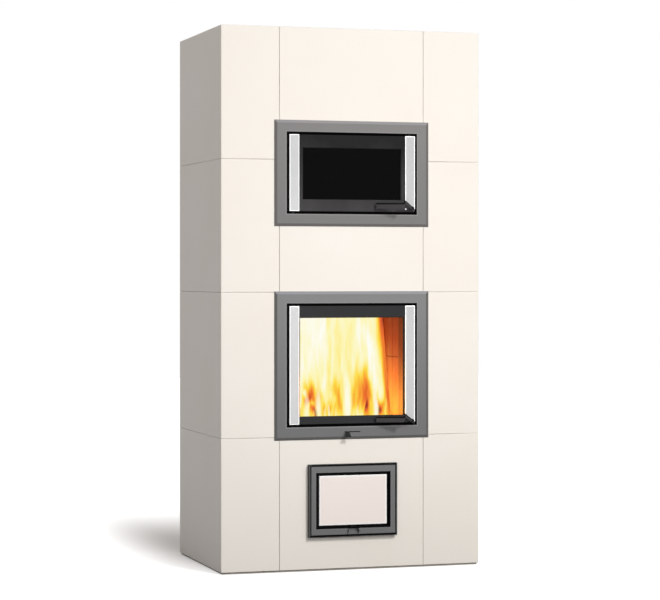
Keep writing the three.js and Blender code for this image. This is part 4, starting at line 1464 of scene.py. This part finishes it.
    def body_of_flame(self) -> None:
        """Makes the body of the fire: a curved sheet with a ragged top that fills most of the firebox."""
        shape = Shape()
        self.sheet(shape, self.body_place, self.flame_steps,
                   lambda u, v: self.body_heat(self.body_place(u, v)))
        shape.piece("flame_body", FLAME_BODY, "stove_body", smooth=self.flame_smooth)

    def edge_share(self, z: float) -> float:
        """How much of the right edge's rise a height has reached: below 0 under it, above 1 over it."""
        return (z - self.edge_rise[0]) / self.edge_rise[1]

    def body_place(self, u: float, v: float) -> Point:
        """A point of the body of flame.

        Args:
            u: the share of the width, from the left.
            v: the share of the height, from the foot.

        Returns:
            The point: at the right the sheet runs back along the lining, further back the higher it is.
        """
        ragged = lumps(u * 9, 0.0, 2.0, 0.03) + lumps(u * 26, 0.0, 5.0, 0.02)
        z = self.flame_foot + (self.flame_top - self.flame_foot + ragged) * v
        x = self.flame_left + (self.flame_right - self.flame_left) * u
        near, far = self.edge_depth
        back = near + (far - near) * min(1.0, self.edge_share(z))
        wave = self.flame_wave * math.sin(17 * u + 4 * v) * (1 - u)
        return (x, self.flame_depth + (back - self.flame_depth) * u ** 5 + wave, z)

    def body_heat(self, point: Point) -> float:
        """How hot the body of flame is at a point.

        Args:
            point: the point.

        Returns:
            The heat, from 0 to 1.
        """
        x, _, z = point
        rise = max(0.0, self.edge_share(z))
        width = self.edge_width[0] + self.edge_width[1] * rise
        rim = min(1.0, max(0.0, self.edge_reach - (self.flame_right - x) / width))
        x += lumps(x * 40, 0.0, z * 12, 0.009) + lumps(x * 95, 3.0, z * 26, 0.005)
        z += lumps(x * 62, 7.0, z * 5, 0.040)
        foot = math.exp(-(max(0.0, z - self.foot_end[0]) / self.foot_end[1]) ** 2)
        licks = lumps(x * 52, 1.0, z * 9) + lumps(x * 120, 4.0, z * 17, 0.6)
        heat = self.pale + (self.lick[0] + self.lick[1] * foot) * licks - self.foot_cooling * foot
        for patch in self.patches:
            across = (x - patch.x - patch.slant * (z - patch.z)) / patch.half_width
            up = (z - patch.z) / patch.half_height
            heat += patch.change * math.exp(-across * across - up * up)
        blend = rim * rim * (3 - 2 * rim)
        return heat * (1 - blend) + (self.edge_heat[0] - self.edge_heat[1] * min(1.0, rise)) * blend

    def sheet(self, shape: Shape, place: Callable[[float, float], Point], steps: tuple[int, int],
              heat: Callable[[float, float], float]) -> None:
        """Adds a sheet of flame that carries its own coordinates and heat.

        Args:
            shape: the shape that takes the sheet.
            place: gives the point at a share of the width and height.
            steps: the number of steps across and up.
            heat: gives the heat at a share of the width and height.
        """
        columns, rows = steps
        uv = shape.mesh.loops.layers.uv.verify()
        layer = shape.mesh.verts.layers.float.get(BURN) or shape.mesh.verts.layers.float.new(BURN)
        made = [[shape.mesh.verts.new(place(i / columns, k / rows)) for i in range(columns + 1)]
                for k in range(rows + 1)]
        for k, row in enumerate(made):
            for i, vertex in enumerate(row):
                vertex[layer] = heat(i / columns, k / rows)
        for k in range(rows):
            for i in range(columns):
                around = ((i, k), (i + 1, k), (i + 1, k + 1), (i, k + 1))
                face = shape.mesh.faces.new([made[b][a] for a, b in around])
                for loop, (a, b) in zip(face.loops, around):
                    loop[uv].uv = (a / columns, b / rows)

    def front_tongues(self) -> None:
        """Makes the tongues that lick up in front of the body of flame."""
        shape = Shape()
        for number, tongue in enumerate(self.tongues):
            self.one_tongue(shape, tongue, number)
        shape.piece("flame_tongues", FLAME_TONGUE, "stove_body", smooth=self.flame_smooth)

    def one_tongue(self, shape: Shape, tongue: Tongue, number: int) -> None:
        """Adds one tongue: broad below its middle, drawn to a point, swaying as it rises.

        Args:
            shape: the shape that takes the tongue.
            tongue: its place, size, lean and heat.
            number: its place in the list, which sets its sway.
        """
        def place(u: float, v: float) -> Point:
            """A point of the tongue at a share of its width and height."""
            half = 0.0
            if v < self.tongue_tip:
                half = tongue.width / 2 * (0.55 + 1.1 * v - 1.65 * v * v) ** 0.9 * 1.5
            sway = lumps(number * 3.7, v * 2.4, 0.5, self.tongue_sway * tongue.height * v)
            across = 2 * u - 1
            x = tongue.x + tongue.lean * v * v + sway + half * across
            y = tongue.y + self.tongue_bow * half * across * across + self.tongue_recede * v
            return (x, y, tongue.foot + tongue.height * v)

        self.sheet(shape, place, self.tongue_steps, lambda u, v: tongue.heat + self.tongue_warming * v)


@dataclass
class AirControl:
    """The sliding air control in the fire door's lower band."""

    edge: float = 0.3 * MM

    def build(self) -> None:
        """Dresses the slide."""
        dress("air_slide", BLACK_STEEL, self.edge)


# ---------------------------------------------------------------- floor, light and camera

@dataclass
class Studio:
    """A white floor, a high soft lamp at the right and the photograph's camera."""

    floor_half: float = 14.0
    floor_albedo: float = 0.80
    floor_roughness: float = 0.9
    # for bounced light the floor is almost black near the stove: painted shade on the stove's foot
    floor_bounce: Span = (0.03, 0.46)
    bounce_reach: Span = (0.90, 2.80)
    # the floor's glow, weak in a band behind the stove: a painted shadow
    floor_glow: Span = (0.09, 0.95)
    glow_reach: Span = (0.04, 0.42)
    shade_centre: Span = (-0.03, 0.50)
    shade_half_width: float = 0.33
    shade_squeeze: float = 0.25
    sky: float = 0.45
    sky_colour: Colour = (1.0, 0.945, 0.91, 1.0)
    lamp_colour: Point = (1.0, 0.99, 0.97)
    key_place: Point = (3.60, -9.00, 8.00)
    key_aim: Point = (0.0, -0.30, 0.90)
    key_size: float = 2.0
    key_power: float = 680.0
    fill_place: Point = (0.30, -2.60, 1.05)
    fill_aim: Point = (0.0, -0.30, 1.05)
    fill_size: float = 1.6
    fill_power: float = 18.0
    fire_lamps: tuple[tuple[Point, float, Point], ...] = (((0.03, -0.170, 0.61), 3.8, (1.0, 0.40, 0.05)),
                                                          ((0.130, -0.190, 0.570), 0.6, (1.0, 0.55, 0.05)))
    fire_lamp_radius: float = 0.06
    camera_place: Point = (-2.440, -7.888, 1.053)
    camera_turn: float = -17.28
    focal_pixels: float = 2243.58
    horizon_rise_pixels: float = 27.06
    view_end: float = 60.0

    def build(self) -> None:
        """Makes the camera, the floor, the sky and the lamps."""
        self.camera()
        self.floor()
        self.world()
        self.lamp("key_lamp", self.key_place, self.key_aim, self.key_size, self.key_power)
        self.lamp("fill_lamp", self.fill_place, self.fill_aim, self.fill_size, self.fill_power)
        self.fire_light()

    def camera(self) -> None:
        """Sets the camera where the photograph's was."""
        data = bpy.data.cameras.new("photo_camera")
        data.sensor_width = SENSOR_WIDTH
        data.lens = self.focal_pixels * SENSOR_WIDTH / IMAGE_WIDTH
        data.shift_y = -self.horizon_rise_pixels / IMAGE_WIDTH
        data.clip_end = self.view_end
        made = hang("photo_camera", data, self.camera_place)
        made.rotation_euler = (math.radians(90), 0.0, math.radians(self.camera_turn))
        bpy.context.scene.camera = made

    def floor(self) -> None:
        """Lays a pale floor that reads as white and keeps the stove's shadow, partly cast by the lamps and
        partly painted into its glow.
        """
        data = bpy.data.meshes.new("floor")
        h = self.floor_half
        data.from_pydata([(-h, -h, 0), (h, -h, 0), (h, h, 0), (-h, h, 0)], [], [(0, 1, 2, 3)])
        data.materials.append(self.floor_material())
        made = hang("floor", data)

    def floor_material(self) -> bpy.types.Material:
        """Makes the floor's paint, which glows where it is seen, and less in a band behind the stove as a
        painted shadow; for bounced light it is almost black near the stove, which paints shade on the stove's
        foot.

        Returns:
            The material.
        """
        graph = Graph("pale_floor")
        x, y = graph.axis("X"), graph.axis("Y")
        seen = graph.seen_light()
        # almost black near the stove for bounced light: painted shade on the stove's foot
        bounce = graph.span(graph.length(x, y), *self.bounce_reach, *self.floor_bounce)
        along = graph.sum("ABSOLUTE", graph.sum("SUBTRACT", x, self.shade_centre[0]))
        beside = graph.sum("MAXIMUM", graph.sum("SUBTRACT", along, self.shade_half_width))
        behind = graph.sum("MULTIPLY", graph.sum("SUBTRACT", y, self.shade_centre[1]), self.shade_squeeze)
        # weak glow in a band behind the stove: a painted shadow
        glow = graph.span(graph.length(beside, behind), *self.glow_reach, *self.floor_glow, eased=True)
        graph.set(Base_Color=graph.mix(seen, bounce, (*[self.floor_albedo] * 3, 1.0)),
                  Roughness=self.floor_roughness, Specular_IOR_Level=0.0, Emission_Color=WHITE,
                  Emission_Strength=graph.sum("MULTIPLY", glow, seen))
        return graph.material

    def world(self) -> None:
        """Makes the sky: a soft even light, seen as white."""
        world = bpy.data.worlds.new("studio")
        world.use_nodes = True
        tree = Tree(world.node_tree)
        background = tree.nodes["Background"]
        seen = tree.seen_light()
        tree.feed(tree.mix(seen, self.sky_colour, WHITE), background.inputs["Color"])
        tree.feed(tree.span(seen, 0.0, 1.0, self.sky, 1.0), background.inputs["Strength"])
        bpy.context.scene.world = world

    def lamp(self, name: str, place: Point, aim: Point, size: float, power: float) -> None:
        """Hangs a square soft lamp.

        Args:
            name: the lamp's name.
            place: where it is.
            aim: the point that it shines at.
            size: the length of its side.
            power: its power in watts.
        """
        data = bpy.data.lights.new(name, "AREA")
        data.shape = "SQUARE"
        data.size = size
        data.energy = power
        data.color = self.lamp_colour
        made = hang(name, data, place)
        made.rotation_euler = (Vector(aim) - Vector(place)).to_track_quat("-Z", "Y").to_euler()

    def fire_light(self) -> None:
        """Puts the flames' own warm light in the firebox."""
        for number, (place, power, colour) in enumerate(self.fire_lamps, 1):
            name = f"fire_light_{number}"
            data = bpy.data.lights.new(name, "POINT")
            data.energy = power
            data.color = colour
            data.shadow_soft_size = self.fire_lamp_radius
            hang(name, data, place)


def main() -> None:
    """Builds the studio and dresses the stove, sub-assembly by sub-assembly."""
    logging.basicConfig(level=logging.INFO, format="%(name)s %(message)s")
    bpy.context.scene.view_settings.view_transform = "Standard"
    assemblies = [
        Studio(), TileShell(), Core(),
        # the four colours after each door's paints are its frame's painted light and shade: lip, bevels,
        # upward faces and foot
        GlazedDoor("oven_door", "oven_door", "oven_door_latch", OVEN_GLASS, OVEN_PAINT, LEAF_TOP_PAINTED_SHADE,
                   ("929192", "6f6d6c", "949395", "7b7a7b"), corner_screw=True),
        GlazedDoor("fire_door", "fire_door", "fire_door_latch", FIRE_GLASS, FIRE_PAINT, LEAF,
                   ("8f9092", "666665", "94959a", "6b6c6e")),
        AshDoor(), Fire(), AirControl(),
    ]
    for assembly in assemblies:
        assembly.build()


if __name__ == "__main__":
    main()
